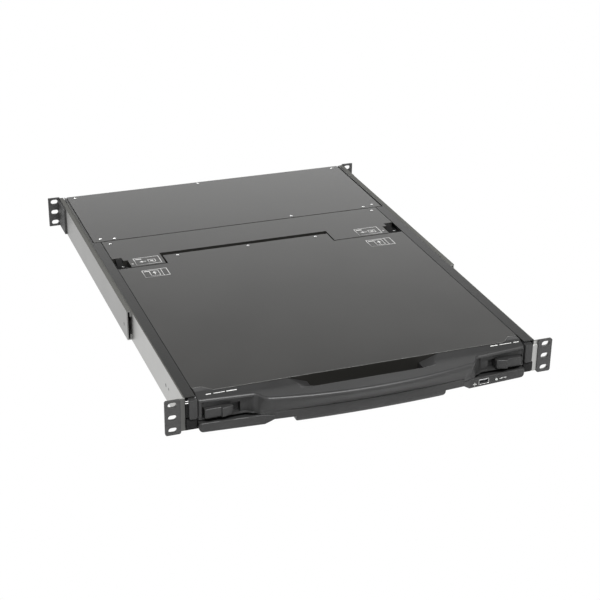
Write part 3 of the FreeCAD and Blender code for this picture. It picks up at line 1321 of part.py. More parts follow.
plan = doc.addObject("Part::Feature", "lower_plan_shape")
plan.Shape = lower_plan()
common = doc.addObject("Part::Common", "lower_common")
common.Base = silhouette
common.Tool = plan
USB_HALF = "(usb_wide / 2 + slide_play)"
USB_RISE = "(usb_tall / 2 + slide_play)"
usb_hole = box("usb_hole", (f"{USB_X} - {USB_HALF}", f"{USB_X} + {USB_HALF}"),
               ("lower_front", "tray_front + 1"), (f"usb_z - {USB_RISE}", f"usb_z + {USB_RISE}"))
light_hole = rod("light_hole", "y", (LIGHT_X, "lower_front", "light_z"), "light_radius + screw_play",
                 "tray_front - lower_front + 1")
as_node(trimmed("lower_bezel_cut", common, [usb_hole, light_hole]), "lower_bezel")

# USB port: a drawn steel shell with a plastic tongue, and the status light's pipe

USB_X_SPAN = (f"{USB_X} - usb_wide / 2", f"{USB_X} + usb_wide / 2")
USB_Z_SPAN = ("usb_z - usb_tall / 2", "usb_z + usb_tall / 2")
usb_shell = new_body("usb_shell_body")
pad(usb_shell, "usb_shell", "XZ", ("usb_front", "usb_front + usb_deep"), [
    rectangle(USB_X_SPAN[0], USB_Z_SPAN[0], USB_X_SPAN[1], USB_Z_SPAN[1]),
    rectangle(f"{USB_X_SPAN[0]} + usb_sheet", f"{USB_Z_SPAN[0]} + usb_sheet",
              f"{USB_X_SPAN[1]} - usb_sheet", f"{USB_Z_SPAN[1]} - usb_sheet")])
usb_back = box("usb_back", USB_X_SPAN, ("usb_front + usb_deep", "usb_front + usb_deep + usb_wall"),
               USB_Z_SPAN)
TONGUE_TOP = f"({USB_Z_SPAN[1]} - usb_sheet - usb_tongue_gap)"
usb_tongue = box("usb_tongue_box",
                 (f"{USB_X_SPAN[0]} + usb_tongue_inset", f"{USB_X_SPAN[1]} - usb_tongue_inset"),
                 ("usb_front + usb_wall", "usb_front + usb_deep"), (f"{TONGUE_TOP} - usb_tongue", TONGUE_TOP))
as_node(fused("usb_port_fused", [usb_shell, usb_back, usb_tongue]), "usb_port")
as_node(rod("status_light_rod", "y", (LIGHT_X, "usb_front - light_proud", "light_z"),
            "light_radius", "light_long"), "status_light")

# Rear electronics: main board, power supply, ports, inlet and switch behind the rear panel

SUPPLY_RIGHT = f"({COVER_HALF} - supply_inset)"
SUPPLY_LEFT = f"({SUPPLY_RIGHT} - supply_wide)"
SUPPLY_BACK = f"({CHASSIS_BACK} - supply_back_gap)"
SUPPLY_FRONT = f"({SUPPLY_BACK} - supply_deep)"
BOARD_RIGHT = f"({SUPPLY_LEFT} - board_gap)"
BOARD_LEFT = f"({BOARD_RIGHT} - board_wide)"
BOARD_BACK = f"({CHASSIS_BACK} - board_back_gap)"
BOARD_FRONT = f"({BOARD_BACK} - board_deep)"
PORT_LEFT = f"({BOARD_LEFT} + port_inset)"
INLET_MIDDLE = f"({SUPPLY_RIGHT} - inlet_inset)"
SWITCH_MIDDLE = f"({INLET_MIDDLE} - switch_step)"
SWITCH_ROOM_X = (f"{SWITCH_MIDDLE} - switch_wide / 2 - panel_play",
                 f"{SWITCH_MIDDLE} + switch_wide / 2 + panel_play")
SWITCH_ROOM_Z = ("inlet_z - switch_tall / 2 - panel_play", "inlet_z + switch_tall / 2 + panel_play")
INLET_X = (f"{INLET_MIDDLE} - inlet_wide / 2", f"{INLET_MIDDLE} + inlet_wide / 2")
INLET_Z = ("inlet_z - inlet_tall / 2", "inlet_z + inlet_tall / 2")
PANEL_FRONT = f"({CHASSIS_BACK} - rear_panel_sheet)"
PORT_COUNT = 3
rear_panel = new_body("rear_panel_body")
pad(rear_panel, "rear_panel_sheet_pad", "XZ", (PANEL_FRONT, CHASSIS_BACK), [
    rectangle(f"-{WALL_INNER}", FLOOR_TOP, WALL_INNER, f"{UNDER_TOP} - chassis_sheet")])
pocket(rear_panel, "inlet_hole", "XZ", (f"{PANEL_FRONT} - 1", f"{CHASSIS_BACK} + 1"), [
    rectangle(f"{INLET_X[0]} - panel_play", f"{INLET_Z[0]} - panel_play",
              f"{INLET_X[1]} + panel_play", f"{INLET_Z[1]} + panel_play"),
    rectangle(SWITCH_ROOM_X[0], SWITCH_ROOM_Z[0], SWITCH_ROOM_X[1], SWITCH_ROOM_Z[1])])
BOARD_TOP = "(board_level + board_sheet)"
port_hole = pocket(rear_panel, "port_hole", "XZ", (f"{PANEL_FRONT} - 1", f"{CHASSIS_BACK} + 1"), [
    rectangle(f"{PORT_LEFT} - panel_play", f"{BOARD_TOP} - panel_play",
              f"{PORT_LEFT} + port_wide + panel_play", f"{BOARD_TOP} + port_tall + panel_play")])
repeat(rear_panel, "port_holes", port_hole, "X_Axis", PORT_COUNT, "port_step")
as_node(rear_panel, "rear_panel")

board_pieces = [box("board_plate", (BOARD_LEFT, BOARD_RIGHT), (BOARD_FRONT, BOARD_BACK),
                    ("board_level", BOARD_TOP))]
for across in (f"{BOARD_LEFT} + standoff_inset", f"{BOARD_RIGHT} - standoff_inset"):
    for along in (f"{BOARD_FRONT} + standoff_inset", f"{BOARD_BACK} - standoff_inset"):
        board_pieces.append(post("board_standoff", 6, (across, along, FLOOR_TOP),
                                 "standoff_radius", f"board_level - {FLOOR_TOP}"))
for across, along, share, height in ((0.19, 0.26, 1, 1), (0.47, 0.33, 0.7, 0.7), (0.71, 0.21, 0.6, 3)):
    chip_left, chip_front = f"({BOARD_LEFT} + board_wide * {across})", f"({BOARD_FRONT} + board_deep * {along})"
    board_pieces.append(box("board_chip", (chip_left, f"{chip_left} + chip * {share}"),
                            (chip_front, f"{chip_front} + chip * {share}"),
                            (BOARD_TOP, f"{BOARD_TOP} + chip_tall * {height}")))
as_node(fused("main_board_fused", board_pieces), "main_board")

PORT_REACH = f"({CHASSIS_BACK} + port_proud)"
ports = []
for index in range(PORT_COUNT):
    left = f"({PORT_LEFT} + {index} * port_step)"
    port_block = box(f"port_block_{index}", (left, f"{left} + port_wide"),
                     (f"{PORT_REACH} - port_deep - port_back", PORT_REACH),
                     (BOARD_TOP, f"{BOARD_TOP} + port_tall"))
    port_room = box(f"port_room_{index}", (f"{left} + port_wall", f"{left} + port_wide - port_wall"),
                    (f"{PORT_REACH} - port_deep", f"{PORT_REACH} + 1"),
                    (f"{BOARD_TOP} + port_wall", f"{BOARD_TOP} + port_tall - port_wall"))
    ports.append(trimmed(f"port_{index}", port_block, [port_room]))
as_node(group("rear_port_group", ports), "rear_ports")

as_node(box("power_supply_box", (SUPPLY_LEFT, SUPPLY_RIGHT), (SUPPLY_FRONT, SUPPLY_BACK),
            (FLOOR_TOP, "supply_top")), "power_supply")

SWITCH_X = (f"{SWITCH_MIDDLE} - switch_wide / 2", f"{SWITCH_MIDDLE} + switch_wide / 2")
SWITCH_Z = ("inlet_z - switch_tall / 2", "inlet_z + switch_tall / 2")
inlet_body = box("inlet_block", INLET_X, (f"{CHASSIS_BACK} - inlet_deep - inlet_wall", CHASSIS_BACK), INLET_Z)
switch_body = box("switch_block", SWITCH_X, (f"{CHASSIS_BACK} - switch_deep", CHASSIS_BACK), SWITCH_Z)
inlet_rim = box("inlet_rim_plate", (f"{SWITCH_X[0]} - inlet_rim", f"{INLET_X[1]} + inlet_rim"),
                (CHASSIS_BACK, f"{CHASSIS_BACK} + inlet_rim"),
                (f"{INLET_Z[0]} - inlet_rim", f"{INLET_Z[1]} + inlet_rim"))
inlet_room = box("inlet_room", (f"{INLET_X[0]} + inlet_wall", f"{INLET_X[1]} - inlet_wall"),
                 (f"{CHASSIS_BACK} - inlet_deep", f"{CHASSIS_BACK} + inlet_rim + 1"),
                 (f"{INLET_Z[0]} + inlet_wall", f"{INLET_Z[1]} - inlet_wall"))
switch_room = box("switch_room", (f"{SWITCH_X[0]} + switch_wall", f"{SWITCH_X[1]} - switch_wall"),
                  (f"{CHASSIS_BACK} - switch_deep + switch_wall", f"{CHASSIS_BACK} + inlet_rim + 1"),
                  (f"{SWITCH_Z[0]} + switch_wall", f"{SWITCH_Z[1]} - switch_wall"))
as_node(trimmed("power_inlet_cut", fused("inlet_fused", [inlet_body, switch_body, inlet_rim]),
                [inlet_room, switch_room]), "power_inlet")

# Power switch: a rocker between the housing's side walls

rocker = new_body("power_switch_body")
ROCKER_HALF = "(switch_tall / 2 - switch_wall - rocker_play)"
ROCKER_AXIS = f"({CHASSIS_BACK} - rocker_axis_gap)"
pad(rocker, "rocker_profile", "YZ",
    (f"{SWITCH_X[0]} + switch_wall + switch_play", f"{SWITCH_X[1]} - switch_wall - switch_play"), [[
    (f"{ROCKER_AXIS} - rocker_root", "inlet_z - rocker_root_half"),
    (f"{ROCKER_AXIS} + rocker_side", f"inlet_z - {ROCKER_HALF}"),
    (f"{ROCKER_AXIS} + rocker_top", f"inlet_z - {ROCKER_HALF} + rocker_draft"),
    (f"{ROCKER_AXIS} + rocker_dip", "inlet_z"),
    (f"{ROCKER_AXIS} + rocker_top", f"inlet_z + {ROCKER_HALF} - rocker_draft"),
    (f"{ROCKER_AXIS} + rocker_side", f"inlet_z + {ROCKER_HALF}"),
    (f"{ROCKER_AXIS} - rocker_root", "inlet_z + rocker_root_half")]])
as_node(rocker, "power_switch")

# Checks every object, then writes one STEP file for each sub-part

doc.recompute()
for item in doc.Objects:
    if "Invalid" in item.State or "Error" in item.State:
        raise RuntimeError(f"{item.Label} did not build: {item.State}")
os.makedirs("parts", exist_ok=True)
for item in NODES:
    if item.Shape.isNull() or not item.Shape.isValid():
        raise RuntimeError(f"{item.Label} has no valid shape")
    item.Shape.exportStep(os.path.join("parts", item.Label + ".step"))
print(len(NODES), "sub-parts written")
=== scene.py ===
import math

import bmesh
import bpy
import numpy as np
from mathutils import Matrix, Vector


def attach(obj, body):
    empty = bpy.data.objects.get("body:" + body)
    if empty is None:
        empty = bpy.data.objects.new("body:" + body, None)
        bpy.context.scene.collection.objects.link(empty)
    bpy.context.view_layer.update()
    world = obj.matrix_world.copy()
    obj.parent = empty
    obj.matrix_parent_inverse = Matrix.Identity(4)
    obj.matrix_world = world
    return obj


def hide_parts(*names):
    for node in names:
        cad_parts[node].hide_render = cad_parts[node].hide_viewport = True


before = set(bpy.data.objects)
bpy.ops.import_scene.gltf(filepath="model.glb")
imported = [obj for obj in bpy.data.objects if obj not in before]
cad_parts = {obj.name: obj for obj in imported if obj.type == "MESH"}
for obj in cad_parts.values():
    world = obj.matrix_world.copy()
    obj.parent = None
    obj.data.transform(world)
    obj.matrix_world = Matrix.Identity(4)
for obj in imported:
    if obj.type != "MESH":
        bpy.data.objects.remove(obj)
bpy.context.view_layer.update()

# Camera and studio. The camera stands in front of the left corner and looks down on the drawer,
# as in the photograph. World and floor show as white to the camera, the reflected sky dims
# upwards, and large soft boxes light the metal from behind, from the left and from the front.

PICTURE_PIXELS, FOCAL_PIXELS = 600, 1460.97
CAMERA_PLACE = (-0.59308, -1.36504, 0.81328)

lens = bpy.data.cameras.new("camera")
lens.sensor_width = 36
lens.lens = FOCAL_PIXELS / PICTURE_PIXELS * lens.sensor_width
camera = bpy.data.objects.new("camera", lens)
bpy.context.collection.objects.link(camera)
azimuth, elevation, roll = (math.radians(angle) for angle in (20.464, 25.376, 0.720))
ahead = Vector((math.sin(azimuth) * math.cos(elevation), math.cos(azimuth) * math.cos(elevation),
                -math.sin(elevation)))
level = Vector((math.cos(azimuth), -math.sin(azimuth), 0))
upright = level.cross(ahead)
right = level * math.cos(roll) + upright * math.sin(roll)
above = upright * math.cos(roll) - level * math.sin(roll)
turn = Matrix((right, above, -ahead)).transposed()
camera.matrix_world = Matrix.Translation(CAMERA_PLACE) @ turn.to_4x4()
bpy.context.scene.camera = camera
bpy.context.scene.view_settings.view_transform = "Standard"


class Wire:
    """One output of a shader node. Sums and products written with wires add Math nodes."""

    def __init__(self, tree, output):
        self.tree, self.output = tree, output

    def node(self, kind, settings, values, out=0):
        """Adds a node: its settings first, then the number or wire of each input."""
        made = self.tree.nodes.new(kind)
        for name, setting in settings.items():
            if name == "stops":
                for index, (place, colour) in enumerate(setting):
                    stops = made.color_ramp.elements
                    stop = stops[index] if index < len(stops) else stops.new(place)
                    stop.position, stop.color = place, colour
            else:
                setattr(made, name, setting)
        for name, value in values.items():
            socket = made.inputs[name]
            if isinstance(value, Wire):
                self.tree.links.new(value.output, socket)
            else:
                socket.default_value = value
        return Wire(self.tree, made.outputs[out] if made.outputs else None)

    def maths(self, operation, *terms):
        """A Math node on wires or numbers."""
        values = dict(enumerate(terms))
        return self.node("ShaderNodeMath", {"operation": operation}, values)

    def ramp(self, low, high):
        """0 below low and 1 above high, smooth between them."""
        values = {"Value": self, "From Min": low, "From Max": high}
        return self.node("ShaderNodeMapRange", {"interpolation_type": "SMOOTHSTEP"}, values)

    def axis(self, name):
        """One coordinate of a vector."""
        return self.node("ShaderNodeSeparateXYZ", {}, {"Vector": self}, name)

    def blend(self, low, high):
        """A colour between two, this wire being the share of the second."""
        values = {"Factor": self, "A": low, "B": high}
        return self.node("ShaderNodeMix", {"data_type": "RGBA"}, values, 2)

    def ray(self, kind):
        """1 for rays of one kind, such as "Is Camera Ray", and 0 for the others."""
        return self.node("ShaderNodeLightPath", {}, {}, kind)

    def __add__(self, other):
        return self.maths("ADD", self, other)

    def __sub__(self, other):
        return self.maths("SUBTRACT", self, other)

    def __rsub__(self, other):
        return self.maths("SUBTRACT", other, self)

    def __mul__(self, other):
        return self.maths("MULTIPLY", self, other)

    __radd__, __rmul__ = __add__, __mul__


SKY_WHITE, SKY_FALL, SKY_BAND = 1.03, 0.79, (0.20, 0.50)
FILL = 0.45
WHITE = (1, 1, 1, 1)

world = bpy.data.worlds.new("studio")
bpy.context.scene.world = world
world.use_nodes = True
world.node_tree.nodes.clear()
studio = Wire(world.node_tree, None)
sight = studio.ray("Is Camera Ray") + studio.ray("Is Transmission Ray")
mirrored = studio.ray("Is Glossy Ray")
upward = studio.node("ShaderNodeTexCoord", {}, {}, "Generated").axis("Z")
sky = SKY_WHITE - upward.ramp(*SKY_BAND) * SKY_FALL
strength = sight + (1 - sight) * (mirrored * sky + (1 - mirrored) * FILL)
glow = studio.node("ShaderNodeBackground", {}, {"Color": WHITE, "Strength": strength})
studio.node("ShaderNodeOutputWorld", {}, {"Surface": glow})


def soft_box(name, centre, aim, size, power):
    """A rectangular lamp at a point, turned to face another."""
    light = bpy.data.lights.new(name, "AREA")
    light.shape, light.size, light.size_y, light.energy = "RECTANGLE", size[0], size[1], power
    lamp = bpy.data.objects.new(name, light)
    bpy.context.collection.objects.link(lamp)
    facing = (Vector(aim) - Vector(centre)).to_track_quat("-Z", "Y")
    lamp.matrix_world = Matrix.Translation(centre) @ facing.to_matrix().to_4x4()


soft_box("back_soft_box", (1.3, 4.2, 1.0), (0, 0.4, 0), (3.6, 1.4), 30)
soft_box("left_soft_box", (-2.6, -0.3, 1.4), (0, 0.2, 0), (1.6, 1.6), 22)
soft_box("front_soft_box", (0.1, -1.5, 2.4), (0, 0, 0), (2.2, 0.6), 170)

FLOOR_HALF, FLOOR_LEVEL = 6, -0.0235

floor_mesh = bpy.data.meshes.new("floor")
floor_corners = [(east * FLOOR_HALF, north * FLOOR_HALF, FLOOR_LEVEL)
                 for east, north in ((-1, -1), (1, -1), (1, 1), (-1, 1))]
floor_mesh.from_pydata(floor_corners, [], [(0, 1, 2, 3)])
floor = bpy.data.objects.new("floor", floor_mesh)
bpy.context.collection.objects.link(floor)
floor_paint = bpy.data.materials.new("floor_paint")
floor_paint.use_nodes = True
floor_paint.node_tree.nodes.clear()
ground = Wire(floor_paint.node_tree, None)
matt = ground.node("ShaderNodeBsdfDiffuse", {}, {"Color": (0.9, 0.9, 0.9, 1)})
shine = ground.node("ShaderNodeEmission", {}, {"Color": WHITE, "Strength": 1.0})
seen = ground.ray("Is Camera Ray") + ground.ray("Is Glossy Ray")
veil = ground.node("ShaderNodeMixShader", {}, {0: 1 - seen, 1: shine, 2: matt})
ground.node("ShaderNodeOutputMaterial", {}, {"Surface": veil})
floor_mesh.materials.append(floor_paint)

# Chassis, covers and pans. Folded steel sheet with a satin black powder coat: its fine orange
# peel blurs the reflections a little, and it clouds slowly between two shades. The chassis
# tray's coat is darker, with a coarser grain.


def finish(name, write):
    """A material: write(place) gives the Principled shader's inputs from the Object coordinates."""
    paint = bpy.data.materials.new(name)
    paint.use_nodes = True
    paint.node_tree.nodes.clear()
    place = Wire(paint.node_tree, None).node("ShaderNodeTexCoord", {}, {}, "Object")
    shader = place.node("ShaderNodeBsdfPrincipled", {}, write(place))
    place.node("ShaderNodeOutputMaterial", {}, {"Surface": shader})
    return paint


def dress(paint, *nodes):
    """Gives CAD nodes a material in their own slots."""
    for node in nodes:
        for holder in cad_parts[node].material_slots:
            holder.material = paint


def grain(place, scale, detail=2):
    """Fractal noise from 0 to 1 at a number of cells in a metre."""
    return place.node("ShaderNodeTexNoise", {}, {"Vector": place, "Scale": scale, "Detail": detail})


def relief(height, strength, distance):
    """A bump: the height's slope, in metres, tilts the normal."""
    return height.node("ShaderNodeBump", {}, {"Height": height, "Strength": strength,
                                              "Distance": distance})


def powder_coat(place):
    """Two shades by a cloud of 0.1 m, gloss almost even, and a fine orange peel."""
    cloud = grain(place, 9, 3)
    tone = cloud.ramp(0.3, 0.7).blend((0.0120, 0.0117, 0.0107, 1), (0.0150, 0.0147, 0.0135, 1))
    return {"Base Color": tone, "Roughness": 0.30 + cloud * 0.02, "IOR": 1.31,
            "Normal": relief(grain(place, 1400), 0.08, 0.0002)}


satin_black = finish("satin_black", powder_coat)
dress(satin_black, "rear_cover", "rear_panel", "hinge_cover", "lcd_back_cover", "keyboard_tray")


def rough_coat(place):
    """Specks of about 2 mm vary the shade, the gloss and the height together."""
    speck = grain(place, 420, 3)
    tone = speck.blend((0.006, 0.006, 0.0056, 1), (0.013, 0.013, 0.0125, 1))
    return {"Base Color": tone, "Roughness": 0.28 + speck * 0.10, "IOR": 1.24,
            "Normal": relief(speck, 0.25, 0.0003)}


dress(finish("rough_black", rough_coat), "chassis_tray")

# Front ears and rear ears. Thick steel flats with a rough black coat, which shows as a fine
# grain; the three oblong slots of each are punched before it is coated.


def ear_coat(place):
    """Specks of about 1 mm vary the shade, the gloss and the height together."""
    peel = grain(place, 900, 3)
    return {"Base Color": peel.blend((0.016, 0.016, 0.016, 1), (0.030, 0.030, 0.030, 1)),
            "Roughness": 0.45 + peel * 0.15, "Normal": relief(peel, 0.25, 0.0003)}


dress(finish("textured_black", ear_coat), "front_ear_left", "front_ear_right", "rear_ear_left",
      "rear_ear_right")

# Side rails and rear brackets. Bare galvanised plates, brushed along their length, screwed to
# the chassis walls; the brackets slide along the rails to suit the rack's depth. The power
# supply's case is of the same sheet.

RAIL_HOLES = [(0.0655, 0.0, 0.0017), (0.0775, -0.001, 0.0022), (0.2540, -0.0034, 0.0022)]
TOP_FOLD, OUTER_FACE, FRONT_SHADE_DEPTHS = (0.0205, 0.0208), (0.2208, 0.2212), (0.0040, 0.0060)


def clear_of(flat, along, level, radius):
    """0 in a round hole of the sheet and 1 outside it."""
    values = {0: flat, 1: (0, along, level)}
    reach = flat.node("ShaderNodeVectorMath", {"operation": "DISTANCE"}, values, "Value")
    return reach.ramp(radius * 0.7, radius * 1.3)


def galvanised(place, dull=1.0):
    """Zinc with brush lines and clouds, dark on its top fold and in its holes, with a painted
    shade of dark grey on the front fold of the left half."""
    lines = place.node("ShaderNodeMapping", {}, {"Vector": place, "Scale": (300, 12, 900)})
    brushed = grain(lines, 1.0, 4)
    cloud = grain(place, 16, 3)
    tone = (brushed * 0.5 + cloud * 0.5).blend((0.37 * dull, 0.37 * dull, 0.36 * dull, 1),
                                               (0.55 * dull, 0.55 * dull, 0.54 * dull, 1))
    fold = place.axis("Z").ramp(*TOP_FOLD)
    rim = place.axis("X").maths("ABSOLUTE").ramp(*OUTER_FACE)
    tinted = fold.blend(tone, rim.blend((0.004, 0.004, 0.004, 1), (0.06, 0.06, 0.055, 1)))
    flat = place.node("ShaderNodeCombineXYZ", {}, {"Y": place.axis("Y"), "Z": place.axis("Z")})
    solid = 1.0
    for hole in RAIL_HOLES:
        solid = solid * clear_of(flat, *hole)
    # Painted shade: the first 4 to 6 mm of the front fold, on the left half only, is toned dark
    # grey.
    front = 1.0 - place.axis("Y").ramp(*FRONT_SHADE_DEPTHS)
    painted_shade = front * (1.0 - place.axis("X").ramp(-0.001, 0.001))
    coloured = painted_shade.blend(tinted, (0.13, 0.13, 0.125, 1))
    return {"Base Color": (1.0 - solid).blend(coloured, (0.03, 0.03, 0.03, 1)),
            "Metallic": 1.0 - fold, "Roughness": 0.34 + brushed * 0.12 + fold * 0.5}


zinc_sheet = finish("zinc_sheet", galvanised)
dress(zinc_sheet, "side_rail_left", "side_rail_right", "power_supply")
dress(finish("brushed_zinc", lambda place: galvanised(place, 0.72)), "rear_bracket_left",
      "rear_bracket_right")

# Ball slides, hinges and the USB shell. Cold-rolled steel with a bright zinc plating, clouded
# a little by the passivation.


def bright_zinc(place):
    """Clouds of about 25 mm vary a bright metal's shade and gloss."""
    cloud = grain(place, 40, 3)
    tone = cloud.blend((0.50, 0.51, 0.52, 1), (0.64, 0.65, 0.66, 1))
    return {"Base Color": tone, "Metallic": 1.0, "Roughness": 0.24 + cloud * 0.12}


ZINC_WORDS = ("slide", "cage", "hinge_bracket", "hinge_arm")
dress(finish("slide_zinc", bright_zinc), "usb_port",
      *[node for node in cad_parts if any(word in node for word in ZINC_WORDS)])

# Handle bezel. The lid's front is one moulding of dark grey plastic, bowed out in the middle as
# a pull handle with a finger slot behind it, and recessed at both ends for the finger latches.
# It clips and screws to the front edge of the lid.


def steps(*stretches):
    """Numbers in rising order: each stretch is (first, last, spacing), joined without repeats."""
    parts = [np.linspace(first, last, max(2, round((last - first) / spacing) + 1))
             for first, last, spacing in stretches]
    return np.unique(np.round(np.concatenate(parts), 4))


def ease(value, start, finish):
    """0 up to start and 1 from finish; between them 3t² - 2t³, t being the share of the way."""
    share = np.clip((value - start) / (finish - start), 0, 1)
    return share * share * (3 - 2 * share)


def softer_max(first, second, round_off):
    """The larger of two heights, the corner between them rounded by a hyperbola."""
    return (first + second + np.sqrt((first - second) ** 2 + round_off ** 2)) / 2


def swing(across, points):
    """A cubic Bezier curve through four plan points, read as a depth at each place across."""
    share = np.linspace(0, 1, 200)[:, None]
    rest = 1 - share
    weights = [rest ** 3, 3 * share * rest ** 2, 3 * share ** 2 * rest, share ** 3]
    curve = sum(weight * np.array(point) for weight, point in zip(weights, points))
    return np.interp(across, curve[:, 0], curve[:, 1])


def rounded(beyond, radius):
    """How far a quarter round falls back at a distance beyond its start: r - sqrt(r² - d²)."""
    inside = np.clip(beyond, 0, radius)
    return radius - np.sqrt(radius * radius - inside * inside)


def between(index):
    """Quads between neighbouring loops of point numbers; each loop closes on itself."""
    after = np.roll(index, -1, -1)
    corners = index[..., :-1, :], after[..., :-1, :], after[..., 1:, :], index[..., 1:, :]
    return np.stack(corners, -1).reshape(-1, 4).tolist()


def skin(name, grid, paint, body, sharp=35):
    """A closed skin on sections of a grid: neighbours in both directions are joined by quads,
    each section is a loop, and the first and last loops are covered."""
    index = np.arange(grid[..., 0].size).reshape(grid.shape[:2])
    faces = between(index) + [index[0, ::-1].tolist(), index[-1].tolist()]
    return settle(name, grid, faces, paint, body, sharp)


def settle(name, points, faces, paint, body, sharp):
    """A mesh from points in millimetres. It merges doubles, turns the faces outwards, smooths up
    to an angle, and puts the piece in."""
    mesh = bpy.data.meshes.new(name)
    mesh.from_pydata((points.reshape(-1, 3) / 1000).tolist(), [], faces)
    work = bmesh.new()
    work.from_mesh(mesh)
    bmesh.ops.remove_doubles(work, verts=work.verts, dist=0.000004)
    bmesh.ops.dissolve_degenerate(work, edges=work.edges, dist=0.000004)
    bmesh.ops.recalc_face_normals(work, faces=work.faces)
    work.to_mesh(mesh)
    work.free()
    mesh.polygons.foreach_set("use_smooth", np.ones(len(mesh.polygons), bool))
    mesh.set_sharp_from_angle(angle=math.radians(sharp))
    mesh.materials.append(paint)
    piece = bpy.data.objects.new(name, mesh)
    bpy.context.collection.objects.link(piece)
    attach(piece, body)
    return piece


def moulded(place):
    """Two shades by a cloud of 70 mm; sparks of 0.4 mm vary the gloss and the height."""
    speck = grain(place, 2600)
    cloud = grain(place, 14, 3)
    tone = cloud.ramp(0.3, 0.7).blend((0.015, 0.015, 0.015, 1), (0.019, 0.019, 0.019, 1))
    return {"Base Color": tone, "Roughness": 0.38 + speck * 0.10, "IOR": 1.41,
            "Normal": relief(speck, 0.10, 0.00015)}


bezel_plastic = finish("bezel_plastic", moulded)

# Millimetres: across from the middle, depth behind the ears' front, height from the middle.
LID_TOP = 21.3
LID_FRONT = [182, 192], [11, 22]
HANDLE_HALF, HANDLE_FRONT, HANDLE_RISE = 125, -33.5, 12.7
ARC = (HANDLE_HALF ** 2 + HANDLE_RISE ** 2) / (2 * HANDLE_RISE)
SHOULDER = [(HANDLE_HALF, -20.8), (133, -19.16)]
WING, WING_FALL, WING_LONG = (141, -6), 4.5, 62.7
SLOT_HALF, SLOT_BACK, SLOT_FRONT = 70, 11, -11.4
LOWER_HALF, LOWER_NOSE, LOWER_RISE = 117.3, -22, 5
SEAM_HALF, SEAM_LEVEL, FOOT_LEVEL = 117.25, -3.5, -8.0
RECESS_TOP, RECESS_END, RECESS_BACK, RECESS_LIP = 14, 199.2, 1, 3
WELL, WELL_LEVELS, WELL_FLOOR = (153.55, 197.85), (-6.02, 6.6), 7.0
RIGHT_SHIFT = 3.0
BROW, HEM, RIM = 3.4, 0.8, 0.9
TOP_LEVELS = 44


def side(shift):
    """Places across one half, close together where the edges of the well and the end lie."""
    return steps((0, 69.95, 3.2), (70.05, 97, 1.4), (97, 117.2, 2.6), (117.3, 124.6, 1.6),
                 (124.8, 150, 0.7), (150, 153.4 + shift, 1.2),
                 (153.5 + shift, 153.7 + shift, 0.1), (153.9 + shift, 197.5 + shift, 3.6),
                 (197.75 + shift, 197.95 + shift, 0.1), (198.2 + shift, 203.7, 0.22))


stations = np.concatenate([-side(0)[:0:-1], side(RIGHT_SHIFT)])
half = np.abs(stations)[:, None]
shift = RIGHT_SHIFT * (stations[:, None] > 0)


def handle_line(half):
    """Front edge in plan: an arc between the shoulders, an S, a line, and a rounded end."""
    arc = HANDLE_FRONT + ARC - np.sqrt(ARC ** 2 - np.minimum(half, HANDLE_HALF) ** 2)
    bend = swing(half, SHOULDER + [(133, -6.57), WING])
    line = WING[1] + (half - WING[0]) * WING_FALL / WING_LONG
    outer = np.where(half < WING[0], bend, line) + rounded(half - 200.7, 3)
    return np.where(half < HANDLE_HALF, arc, outer)


def recess_line(half):
    """Back of the latch recess in plan: level, then swinging out to the handle."""
    bend = swing(half, SHOULDER + [(141, RECESS_BACK), (149, RECESS_BACK)])
    return np.where(half < HANDLE_HALF, handle_line(half), bend)


def crown(half, depth):
    """Height of the top: flat at the lid, then a steep and a gentle slope to the brow, which
    meet at (depth 1, height 17.6); lower beside the slot."""
    slope, lip = 17.6 + (depth - 1) * 0.3364, 17.6 + (depth - 1) * 0.0304
    level = -softer_max(-LID_TOP, -softer_max(slope, lip, 0.8), 0.3)
    beside = 12.5 + (half - SLOT_HALF) * 0.352
    share = ease(depth, -9.4, -6.6) * (half > SLOT_HALF)
    ramp = level * (1 - share) + np.minimum(level, beside) * share
    return np.where(half < SLOT_HALF, level, ramp) - rounded(half - 202.3, 1.4)


def lower_line(out):
    """The lower bezel's front in plan: an arc, then two lines that fall back to a rounded end."""
    bow = (LOWER_HALF ** 2 + LOWER_RISE ** 2) / (2 * LOWER_RISE)
    arc = LOWER_NOSE + bow - np.sqrt(bow ** 2 - np.minimum(out, LOWER_HALF) ** 2)
    line = np.interp(out, [LOWER_HALF, 128, 203.4], [-17, -12.5, -7]) + rounded(out - 200.8, 2.6)
    return np.where(out < LOWER_HALF, arc, line)


def face_depth(half, height):
    """Front face: the plan line at the brow, falling back to the lower bezel's line at its foot,
    sunk in the recess and in the latch well."""
    line = handle_line(half)
    foot_line = np.maximum(lower_line(half), line)
    fall = np.clip((12 - height) / 15.5, 0, 1) ** 1.2
    outer = line + (foot_line - line) * fall
    below_top = ease(RECESS_TOP - height, -0.2, 1.6)
    inside = below_top * ease(RECESS_END + 0.6 * shift - half, -0.6, 1.6)
    lip = 1 - ease(height, -6.9, -6.1)
    deep = softer_max(recess_line(half) - RECESS_LIP * lip, outer, 1.5)
    sunk = outer + (deep - outer) * inside * ease(half, 124, 131)
    across = (half > WELL[0] + shift) & (half < WELL[1] + shift)
    well = across & (height > WELL_LEVELS[0]) & (height < WELL_LEVELS[1])
    return np.where(well, WELL_FLOOR, sunk)


# The top outside the slot: a rounded groove along the lid's edge, then even steps to the brow.
rear = np.interp(half, *LID_FRONT)
front = handle_line(half)
rim = np.linspace(0, RIM, 6)
along = np.linspace(0, 1, TOP_LEVELS - 5)[1:]
top_depth = np.concatenate([rear - rim, rear - RIM + (front + BROW - rear + RIM) * along], 1)
top_height = crown(half, top_depth) - rounded(top_depth - rear + RIM, RIM)

